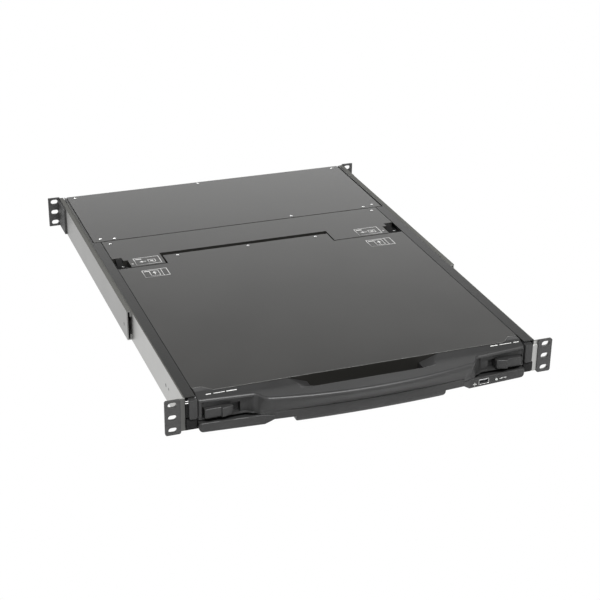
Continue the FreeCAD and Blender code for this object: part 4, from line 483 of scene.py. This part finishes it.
# The top with the slot: along its floor, up its front wall, and over the grip to the brow.
slot_path = np.array([(SLOT_BACK - 3 * inch, 0) for inch in range(7)] + [(-9.4, 0.1), (-10, 0.8)]
                     + [(-10, 1.6 * rise) for rise in range(1, 11)]
                     + [(-10.2, 16.8), (-10.8, 17.24)])
slot_wall = np.broadcast_to(slot_path, (len(half), *slot_path.shape))
grip_share = np.linspace(0, 1, TOP_LEVELS - len(slot_path))
grip_depth = SLOT_FRONT + (front - SLOT_FRONT + BROW) * grip_share
slot_depth = np.concatenate([slot_wall[..., 0], grip_depth], 1)
slot_height = np.concatenate([slot_wall[..., 1], crown(half, grip_depth)], 1)
in_slot = half < SLOT_HALF

# The front: the round over the brow, the face, the hem turned in at its foot, and the underside.
over = np.linspace(0, math.pi / 2, 9)[1:]
brow_height = crown(half, front + BROW) - BROW
levels = steps((-7.2, -6.1, 0.3), (-6.04, -6.0, 0.04), (-5.8, 6.4, 0.9), (6.58, 6.62, 0.04),
               (6.8, 12.2, 0.7), (12.3, 12.8, 0.25))[::-1]
under = np.where(half < SEAM_HALF, SEAM_LEVEL, FOOT_LEVEL)
face_height = np.clip(np.broadcast_to(levels, (len(half), len(levels))), under + HEM,
                      brow_height - 0.05)
foot = face_depth(half, under + HEM)
turn_in = np.linspace(0, math.pi / 2, 4)[1:]
sole = foot + (rear - foot) * np.array([0.3, 0.65, 1.0])
depth = np.concatenate([np.where(in_slot, slot_depth, top_depth),
                        front + BROW - BROW * np.sin(over), face_depth(half, face_height),
                        foot + HEM - HEM * np.cos(turn_in), sole], 1)
height = np.concatenate([np.where(in_slot, slot_height, top_height),
                         brow_height + BROW * np.cos(over), face_height,
                         under + HEM - HEM * np.sin(turn_in), under + np.zeros(3)], 1)
bezel_grid = np.stack([np.broadcast_to(stations[:, None], depth.shape), depth, height], -1)
bezel = skin("bezel_moulding", bezel_grid, bezel_plastic, "lcd_lid")
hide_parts("handle_bezel")

# Lower bezel. The keyboard module's front moulding, of the same plastic as the handle: a pull
# lip hangs down in the middle, and each end carries a flat pill, the right one with the USB
# port and the status light.

LOWER_BACK, LOWER_FOOT = 2.6, -21.8
LIP_END, LIP_START, LIP_ROUND = 93.01, 89.5, 3.5
END_START, END_ROUND = 198.4, 5
SOCKET, SOCKET_LEVELS = (139.3, 153.2), (-17.7, -11.7)
CREST, SILL = 1.0, 1.6

pull = steps((0, 89.4, 3.2), (89.5, 93, 0.35), (93.02, 94, 0.49), (95, 117, 2.6),
             (117.28, 117.32, 0.04), (118, 131, 0.7), (131.5, 139, 1.5), (139.28, 139.4, 0.12),
             (139.9, 152.7, 1.6), (153.1, 153.22, 0.12), (154, 197.5, 3.2), (198.4, 203.4, 0.33))
reach = np.concatenate([-pull[:0:-1], pull])[:, None]
out = np.abs(reach)
corner = rounded(np.minimum(out - END_START, END_ROUND - 0.01), END_ROUND)
lip_fall = rounded(np.minimum(out - LIP_START, LIP_ROUND - 0.01), LIP_ROUND)
upper = np.interp(out, [117.29, 117.31, 140, 165, 201], [-3.9, -8.3, -8.4, -8.9, -9.2])
upper = upper - corner * 0.3
lower = np.where(out < LIP_END, LOWER_FOOT + lip_fall,
                 np.interp(out, [118, 128], [-14.2, LOWER_FOOT]) + corner)
lower_levels = steps((LOWER_FOOT, -17.8, 0.4), (-17.72, -17.64, 0.08), (-17.4, -11.9, 0.5),
                     (-11.74, -11.66, 0.08), (-11.4, -3.9, 0.5))[::-1]
rows = np.clip(np.broadcast_to(lower_levels, (len(out), len(lower_levels))), lower + 0.02,
               upper - 0.02)


def lower_face(out, rows):
    """Front face: the plan line with a round at both edges, tucked under towards its foot."""
    rounds = rounded(rows - (upper - CREST), CREST) + rounded((lower + SILL) - rows, SILL)
    tuck = np.where(out < LIP_END, 3.6, 1.2) * np.clip((-13.5 - rows) / 8.3, 0, 1) ** 2
    across = (reach > SOCKET[0]) & (reach < SOCKET[1])
    socket = across & (rows > SOCKET_LEVELS[0]) & (rows < SOCKET_LEVELS[1])
    return np.where(socket, LOWER_BACK - 0.4, lower_line(out) + tuck + rounds)


# Behind a thin front wall, the top of each end is sunk.
WALL, TRENCH = 1.8, 2.8
skin_depth = lower_face(out, rows)
trench = np.interp(out, [118, 126, 192, 199], [0, TRENCH, TRENCH, 0])
wall = skin_depth[:, :1] + WALL
behind = [(skin_depth[:, -1:], lower), (np.full_like(out, LOWER_BACK), lower),
          (np.full_like(out, LOWER_BACK), upper - trench), (wall, upper - trench), (wall, upper)]
lower_depth = np.concatenate([skin_depth] + [part for part, _ in behind], 1)
lower_height = np.concatenate([rows] + [part for _, part in behind], 1)
lower_grid = np.stack([np.broadcast_to(reach, lower_depth.shape), lower_depth, lower_height], -1)
pull_bezel = skin("pull_bezel", lower_grid, bezel_plastic, "keyboard_module")
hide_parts("lower_bezel")

# Finger latches. Sprung plastic slides in the recesses of the handle bezel: a flat plate, a
# dip, and a ridge for the fingertip, pulled towards the middle to free the lid.

SIDES = (("left", -1), ("right", 1))
LATCH_PLAN = [(196.4, 6.8), (196.4, -3.4), (196.2, -4.0), (195.6, -4.3), (178.4, -4.3),
              (177.6, -4.4), (177.1, -4.9), (176.7, -6.2), (176.3, -6.9), (175.6, -7.2),
              (174.6, -7.1), (164.4, -4.3), (163.5, -3.8), (163.0, -3.0), (163.0, 6.8)]
LATCH_MIDDLE = (182.0, 3.0)
LATCH_TIERS = [(-5.6, 1.0), (-5.45, 0.5), (-5.1, 0.15), (-4.6, 0.0), (-2, 0.0), (2, 0.0),
               (5.2, 0.0), (5.7, 0.15), (6.05, 0.5), (6.2, 1.0)]


def latch_grid(sign):
    """The plan outline at each (height, inset), drawn in at the top and bottom edges."""
    points = np.array(LATCH_PLAN) + [[RIGHT_SHIFT if sign > 0 else 0, 0]]
    inward = np.array([LATCH_MIDDLE]) - points
    inward /= np.abs(inward).max(1, keepdims=True)
    return np.stack([np.insert((points + inward * inset) * (sign, 1), 2, level, axis=1)
                     for level, inset in LATCH_TIERS])


for word, sign in SIDES:
    finger = skin(f"finger_slide_{word}", latch_grid(sign), bezel_plastic, f"finger_latch_{word}")
    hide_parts(f"front_latch_{word}")

# Other mouldings: screen frame, keyboard deck, keys, touchpad, catches, buttons and rear
# connectors, in black plastic with a fine spark-eroded texture.


def textured(place):
    """Sparks of about 0.5 mm vary the shade, the gloss and the height together."""
    speck = grain(place, 2200)
    tone = speck.blend((0.017, 0.017, 0.017, 1), (0.026, 0.026, 0.026, 1))
    return {"Base Color": tone, "Roughness": 0.42 + speck * 0.12,
            "Normal": relief(speck, 0.12, 0.0002)}


dress(finish("moulded_black", textured), "lcd_front_frame", "keyboard_deck", "touchpad",
      "touchpad_button_left", "touchpad_button_right", "typing_keys", "navigation_keys",
      "number_pad_keys", "space_bar", "keyboard_catch_left", "keyboard_catch_right",
      "osd_button_1", "osd_button_2", "osd_button_3", "osd_button_4", "rear_ports",
      "power_inlet", "power_switch")

# Screws and catch pins. Small pan-head steel screws with a cross recess, bright where the driver
# has been, in the cover plate, the hinge cover and the lid's tongue, and one smaller head that
# holds each rear catch.


def screw_steel(place):
    """Clouds of about 3 mm vary a bright metal's shade and gloss."""
    cloud = grain(place, 300, 3)
    tone = cloud.blend((0.36, 0.36, 0.36, 1), (0.70, 0.70, 0.69, 1))
    return {"Base Color": tone, "Metallic": 1.0, "Roughness": 0.30 + cloud * 0.15}


screw_zinc = finish("screw_zinc", screw_steel)
HEAD_RINGS, HEAD_SIDES = 10, 32
CROSS_HALF, CROSS_REACH = 0.15, 0.62
DOME_FALL, CROSS_DEPTH, SKIRT = 0.75, 0.9, -0.2


def place_heads(name, places, level, radius, rise, body):
    """Heads of one screw: a dome that falls with the square of the share of the radius, less a
    cross-shaped recess, on a grid of radius and angle, with a skirt down into the sheet."""
    span = np.append(np.linspace(0, 1, HEAD_RINGS), [1.0, 0.0])[:, None]
    spin = np.linspace(0, 2 * math.pi, HEAD_SIDES + 1)[None, :-1]
    east, north = span * np.cos(spin), span * np.sin(spin)
    cross = (np.minimum(np.abs(east), np.abs(north)) < CROSS_HALF) & (span < CROSS_REACH)
    lift = rise * (1 - DOME_FALL * span ** 2) - cross * rise * CROSS_DEPTH
    lift[-2:] = SKIRT
    head = np.stack([east * radius, north * radius, lift + level], -1)
    heads = np.insert(np.array(places, float), 2, 0, axis=1)[:, None, None] + head
    index = np.arange(heads[..., 0].size).reshape(heads.shape[:-1])
    return settle(name, heads, between(index), screw_zinc, body, 40)


COVER_PLACES = [(-203, 472), (-184, 468), (76, 468), (188, 468), (203, 472), (-14, 637),
                (-203, 634), (203, 634)]
cover_heads = place_heads("cover_screw_heads", COVER_PLACES, LID_TOP, 2.4, 0.5, "chassis")
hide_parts("cover_screws")
place_heads("hinge_screw_heads", [(-194, 451), (194, 451)], LID_TOP, 2.2, 0.45, "lcd_carriage")
for word, sign in SIDES:
    place_heads(f"catch_pin_heads_{word}", [(sign * 195.6, 372.8)], 20.2, 1.5, 0.5,
                f"rear_release_{word}")
place_heads("tongue_screw_heads", [(-117, 385), (-17, 386), (82, 386)], LID_TOP, 2.2, 0.45,
            "lcd_lid")

# Slide end caps and spring clip. The front ends of the ball slides are closed by moulded caps
# beside the bezel, and a bright wire clip on the chassis wall holds the left one. Behind each upper
# cap a wider near-black plate is painted shade in the gap beside it; the lower caps are black
# plastic darkened further by painted shade.


def rounded_loop(centre, size, radius):
    """Outline of a rounded rectangle: a quarter turn of the radius at each corner."""
    points = []
    for quarter, (east, north) in enumerate([(1, 1), (-1, 1), (-1, -1), (1, -1)]):
        turns = np.linspace(0, math.pi / 2, 6) + quarter * math.pi / 2
        across = centre[0] + east * (size[0] / 2 - radius) + radius * np.cos(turns)
        upward = centre[1] + north * (size[1] / 2 - radius) + radius * np.sin(turns)
        points.append(np.stack([across, upward], -1))
    return np.concatenate(points)


def block(name, centre, size, radius, tiers, paint, body):
    """A rounded block: its outline at each (depth, inset), narrower by the inset."""
    loops = [np.insert(rounded_loop(centre, (size[0] - inset, size[1] - inset), radius), 1, depth,
                       axis=1) for depth, inset in tiers]
    return skin(name, np.stack(loops), paint, body)


def end_cap(name, centre, size, nose, paint, body):
    """A block from depth 2.4 to its nose, rounded off towards the front edge."""
    tiers = [(2.4, 0), (nose + 1.0, 0), (nose + 0.4, 0.5), (nose, 1.8)]
    return block(name, centre, size, 1.4, tiers, paint, body)


def black_and_shade_tone(place):
    """A near black, darker than the moulded plastic and partly painted shade; clouds of about 17 mm
    vary its tone and gloss.
    """
    cloud = grain(place, 60)
    return {"Base Color": cloud.blend((0.004, 0.004, 0.004, 1), (0.009, 0.009, 0.009, 1)),
            "Roughness": 0.6 + cloud * 0.1, "IOR": 1.25}


# Painted shade: this near black deepens the rear catches and the lower slide caps, which are black
# plastic, and colours the plates and tubes that fill shaded gaps.
black_and_shade = finish("black_and_shade", black_and_shade_tone)
dress(black_and_shade, "rear_catch_left", "rear_catch_right")
for word, sign in SIDES:
    end_cap(f"upper_slide_cap_{word}", (sign * 209.1, 7.4), (9.8, 24.0), -3.0, bezel_plastic,
            "lcd_carriage")
    # Painted shade: a wider near-black plate behind the cap fills the gap to the rail.
    end_cap(f"upper_slide_gap_shade_{word}", (sign * 210.5, 7.4), (12.6, 23.4), 1.2, black_and_shade,
            "lcd_carriage")
    # Black plastic cap, darkened further as painted shade.
    end_cap(f"lower_slide_cap_{word}", (sign * 210.5, -11.8), (12.6, 12.8), -0.6, black_and_shade,
            "keyboard_module")


def tube(name, path, radius, paint, body, closed=False):
    """A round wire: circles square to a path that is resampled evenly along its length."""
    path = np.array(path, float)
    stretch = np.append(0, np.cumsum(np.linalg.norm(np.diff(path, axis=0), axis=1)))
    even = np.linspace(0, stretch[-1], max(8, int(stretch[-1] / radius)))
    line = np.stack([np.interp(even, stretch, path[:, axis]) for axis in range(3)], -1)
    ahead = np.gradient(line, axis=0)
    if closed:
        ahead[[0, -1]] = line[1] - line[-2]
    ahead /= np.linalg.norm(ahead, axis=1, keepdims=True)
    first = np.cross(ahead, [0.05, 0.9, 0.42])
    first /= np.linalg.norm(first, axis=1, keepdims=True)
    second = np.cross(ahead, first)
    spin = np.linspace(0, 2 * math.pi, 9)[:-1][None, :, None]
    grid = line[:, None] + radius * (np.cos(spin) * first[:, None] + np.sin(spin) * second[:, None])
    return skin(name, grid, paint, body, 60)


CLIP_PATH = [(-217.3, 5, 17.8), (-217.3, 1.0, 17.8), (-216.8, 0.4, 17.8), (-213.9, 0.2, 18.3),
             (-213.4, 0.2, 17.9), (-213.4, 0.2, 16.2), (-213.9, 0.2, 15.7), (-216.8, 0.4, 15.1),
             (-217.3, 1.0, 15.1), (-217.3, 5, 15.1)]
tube("slide_clip", CLIP_PATH, 0.55, screw_zinc, "chassis")

# Lid edges. A pale thread along the bezel's seam is a painted highlight for the glint on the
# lid's front edge, and a near-black tube along each side is painted shade that widens the dark gap
# to the chassis.


def edge_glint_paint(place):
    """Painted highlight: near black to pale grey in patches of about 4 mm."""
    wear = grain(place, 260, 3)
    return {"Base Color": wear.blend((0.02, 0.02, 0.019, 1), (0.12, 0.12, 0.115, 1)),
            "Roughness": 0.35 + wear * 0.1}


# Painted highlight: a pale tube along the lid's front edge, standing for its glint.
EDGE_PLAN = [(-203.4, 22.1), (-192, 22.1), (-182, 11.1), (182, 11.1), (192, 22.1), (203.4, 22.1)]
tube("lid_front_glint", [(*place, 21.12) for place in EDGE_PLAN], 0.26,
     finish("edge_glint_paint", edge_glint_paint), "lcd_lid")
# Painted shade: a near-black tube along each side of the lid, in the gap to the chassis.
for word, sign in SIDES:
    tube(f"lid_side_gap_shade_{word}", [(sign * 204.3, 23.5, 20.6), (sign * 204.3, 363.5, 20.6)],
         0.85, black_and_shade, "lcd_lid")

# Printed marks. White screen print on the lid, the hinge cover and the bezel: outlined panels
# that show which way the catches move, plain rule lines, and small signs beside the port.


def white_ink(place):
    """Ink worn in patches of about 1.4 mm from white to grey."""
    wear = grain(place, 700, 3)
    return {"Base Color": wear.blend((0.26, 0.26, 0.255, 1), (0.56, 0.56, 0.55, 1)),
            "Roughness": 0.5 + wear * 0.1}


print_white = finish("print_white", white_ink)
PROUD, SUNK = 0.06, -0.02


def ink(name, lines, lay, body):
    """Printed lines: each is points of (across, along, width). A point is set off to both sides
    by half its width, square to the mean direction there, and lay() puts it on the surface."""
    loops, faces, count = [], [], 0
    for line in lines:
        points = np.array(line, float)
        place, width = points[:, :2], points[:, 2:]
        steps_on = np.diff(place, axis=0)
        steps_on /= np.linalg.norm(steps_on, axis=1, keepdims=True)
        shut = np.allclose(place[0], place[-1])
        before = np.concatenate([steps_on[-1:] if shut else steps_on[:1], steps_on])
        after = np.concatenate([steps_on, steps_on[:1] if shut else steps_on[-1:]])
        mean = (before + after) / 2
        square = np.stack([-mean[:, 1], mean[:, 0]], -1) / (mean ** 2).sum(1, keepdims=True)
        left, right = place + square * width / 2, place - square * width / 2
        loops.append(np.stack([lay(left, PROUD), lay(right, PROUD), lay(right, SUNK),
                               lay(left, SUNK)], 1))
        index = np.arange(4 * len(line)).reshape(-1, 4) + count
        count += index.size
        faces += between(index) + [index[0].tolist(), index[-1].tolist()]
    return settle(name, np.concatenate(loops), faces, print_white, body, 30)


def on_top(points, lift):
    """On the flat of the lid and of the hinge cover."""
    return np.insert(points, 2, LID_TOP + lift, axis=1)


def outline(low, high, width):
    """A rectangle drawn with one line."""
    (west, south), (east, north) = low, high
    return [(west, south, width), (east, south, width), (east, north, width),
            (west, north, width), (west, south, width)]


def bar(start, finish_at, width):
    """A straight line of even width."""
    return [(*start, width), (*finish_at, width)]


def arrow(tip, tail, width):
    """A short shaft and a head that narrows from five line widths to its tip."""
    tip, tail = np.array(tip, float), np.array(tail, float)
    along = (tip - tail) / np.linalg.norm(tip - tail)
    neck = tip - along * width * 4
    return [bar(tail, neck, width), [(*neck, width * 5), (*tip, 0.05)]]


def release_panel(left, front, wide, deep):
    """Outlined panel: a caption bar, a sliding catch seen from above, and an arrow beside it."""
    middle = front + deep * 0.42
    lines = [outline((left, front), (left + wide, front + deep), 0.9),
             bar((left + 2, front + deep - 4), (left + wide * 0.30, front + deep - 4), 2.2),
             outline((left + wide * 0.52, middle - 4), (left + wide * 0.80, middle + 4), 0.8),
             bar((left + wide * 0.60, middle), (left + wide * 0.72, middle), 3.0)]
    return lines + arrow((left + wide * 0.16, middle), (left + wide * 0.44, middle), 1.1)


def opening_panel(left, front, wide, deep):
    """Outlined panel: a caption bar, the unit in plan, an arrow that lifts its lid, a divider."""
    middle = left + wide * 0.45
    lines = [outline((left, front), (left + wide, front + deep), 0.9),
             bar((left + 2, front + deep - 4), (left + wide * 0.26, front + deep - 4), 2.2),
             outline((middle - 6, front + 3), (middle + 6, front + deep - 3), 0.8),
             bar((left + wide * 0.76, front), (left + wide * 0.76, front + deep), 0.8)]
    return lines + arrow((middle, front + deep - 6), (middle, front + 6), 1.2)


POINTERS = [[(-180.6, 376, 3.4), (-183.4, 376, 0.1)], [(179.6, 376, 3.4), (182.4, 376, 0.1)]]
ink("hinge_cover_print", release_panel(-177, 370, 34, 22) + release_panel(142, 370, 34, 22)
    + POINTERS, on_top, "lcd_carriage")
ink("lid_print", opening_panel(-176, 328, 33, 22) + opening_panel(143, 328, 35, 22), on_top,
    "lcd_lid")


def on_brow(points, lift):
    """On the sloping top of the handle bezel."""
    return np.column_stack([points, crown(np.abs(points[:, :1]), points[:, 1:])[:, 0] + lift])


BEZEL_RULES = [bar((-192, 6.2), (-186, 6.2), 1.2), bar((-183, 6.2), (-170, 6.2), 0.8),
               bar((-168, 6.2), (-156, 6.2), 1.2), bar((162, 8), (172, 8), 1.2),
               bar((174, 8), (190, 8), 0.8), bar((193, 8), (200, 8), 1.2)]
ink("bezel_print", BEZEL_RULES, on_brow, "lcd_lid")


def on_pill(points, lift):
    """On the front of the lower bezel's right end."""
    depth = lower_line(np.abs(points[:, :1]))[:, 0] + 0.02
    return np.column_stack([points[:, 0], depth - lift, points[:, 1]])


PORT_SIGNS = [bar((131.6, -16.4), (136.6, -16.4), 0.7), bar((134.1, -18.6), (134.1, -14.2), 0.7),
              bar((168.4, -15.4), (173.2, -15.4), 0.7), bar((174.2, -15.4), (177.4, -15.4), 0.7)]
ink("port_print", PORT_SIGNS, on_pill, "keyboard_module")

# Rear connector shells. Each cable connector of the rear panel is edged by a drawn steel shell,
# plated, pressed over the moulded body.

PORT_FIRST, PORT_PITCH = -94.5, 46

for port in range(3):
    shell = rounded_loop((PORT_FIRST + PORT_PITCH * port, -7.15), (28.4, 9.9), 1.6)
    shell = np.insert(np.concatenate([shell, shell[:1]]), 1, 644.0, axis=1)
    tube(f"port_shell_{port + 1}", shell, 0.45, screw_zinc, "chassis", closed=True)

# Inlet pins. Three flat nickel-plated blades, pressed into the moulding of the mains inlet and
# rounded at their tips.

PIN_TIERS = [(626.2, 0), (638.6, 0), (639.6, 0.5), (640.0, 1.1)]

for pin, place in enumerate([(160, 1.6), (153.4, -4.4), (166.6, -4.4)]):
    block(f"inlet_pin_{pin + 1}", place, (2.2, 5.4), 0.5, PIN_TIERS, screw_zinc, "chassis")

# Front flange plate. On the right the rail's zinc flange reaches inwards behind the ear as far as
# the slide caps: a plate with rounded corners, folded from the rail's own sheet.

block("flange_plate_right", (219.3, -1.6), (7.6, 35.0), 1.6, [(2.5, 0), (1.6, 0), (1.4, 0.4)],
      zinc_sheet, "chassis")

# USB port and status light. A drawn steel shell stands flush in its opening with a rolled rim,
# and a clear moulded pipe carries the light of the board to a round window.

rim = rounded_loop((146.25, -14.7), (13.3, 6.0), 0.8)
rim = np.concatenate([rim, rim[:1]])
rim = np.column_stack([rim[:, 0], lower_line(rim[:, 0]) - 0.1, rim[:, 1]])
tube("usb_rim", rim, 0.42, screw_zinc, "keyboard_module", closed=True)


def light_pipe(place):
    """Clear plastic that looks grey, hazy in clouds of about 2 mm."""
    haze = grain(place, 500)
    return {"Base Color": haze.blend((0.24, 0.25, 0.24, 1), (0.36, 0.37, 0.36, 1)),
            "Roughness": 0.18 + haze * 0.1}


dress(finish("light_pipe", light_pipe), "status_light")

# Rear catch rings. Each sliding catch has a finger ring of black plastic moulded on at its
# inner front corner.

RING_RADIUS, RING_SIDES = 2.3, 24

for word, sign in SIDES:
    turns = np.linspace(0, 2 * math.pi, RING_SIDES + 1)
    ring = np.column_stack([sign * 188.6 + RING_RADIUS * np.cos(turns),
                            376.2 + RING_RADIUS * np.sin(turns), np.full(len(turns), 15.4)])
    tube(f"catch_ring_{word}", ring, 0.8, bezel_plastic, f"rear_release_{word}",
         closed=True)

# Boards, film and screen. Green glass-fibre boards with a gloss solder mask, the black printed
# film under the keys, and the screen: a dark panel behind an anti-glare front.


def solder_mask(place):
    """Brick-shaped tracks, lighter or darker green between narrow gaps."""
    values = {"Vector": place, "Scale": 160, "Mortar Size": 0.04}
    tracks = place.node("ShaderNodeTexBrick", {}, values, "Fac")
    tone = tracks.blend((0.010, 0.060, 0.022, 1), (0.020, 0.105, 0.040, 1))
    return {"Base Color": tone, "Roughness": 0.30 + tracks * 0.15}


dress(finish("solder_mask", solder_mask), "main_board", "lcd_driver_board")


def printed_film(place):
    """Specks of about 3 mm vary a black ink's shade and gloss."""
    speck = grain(place, 300, 3)
    return {"Base Color": speck.blend((0.010, 0.010, 0.011, 1), (0.022, 0.022, 0.024, 1)),
            "Roughness": 0.4 + speck * 0.2}


dress(finish("printed_film", printed_film), "key_board")


def anti_glare(place):
    """Fine etched specks of 0.3 mm vary the shade, the gloss and the height."""
    sparkle = grain(place, 3000, 1)
    return {"Base Color": sparkle.blend((0.004, 0.004, 0.006, 1), (0.008, 0.008, 0.011, 1)),
            "Roughness": 0.16 + sparkle * 0.08, "Normal": relief(sparkle, 0.03, 0.0001)}


dress(finish("anti_glare", anti_glare), "lcd_panel")
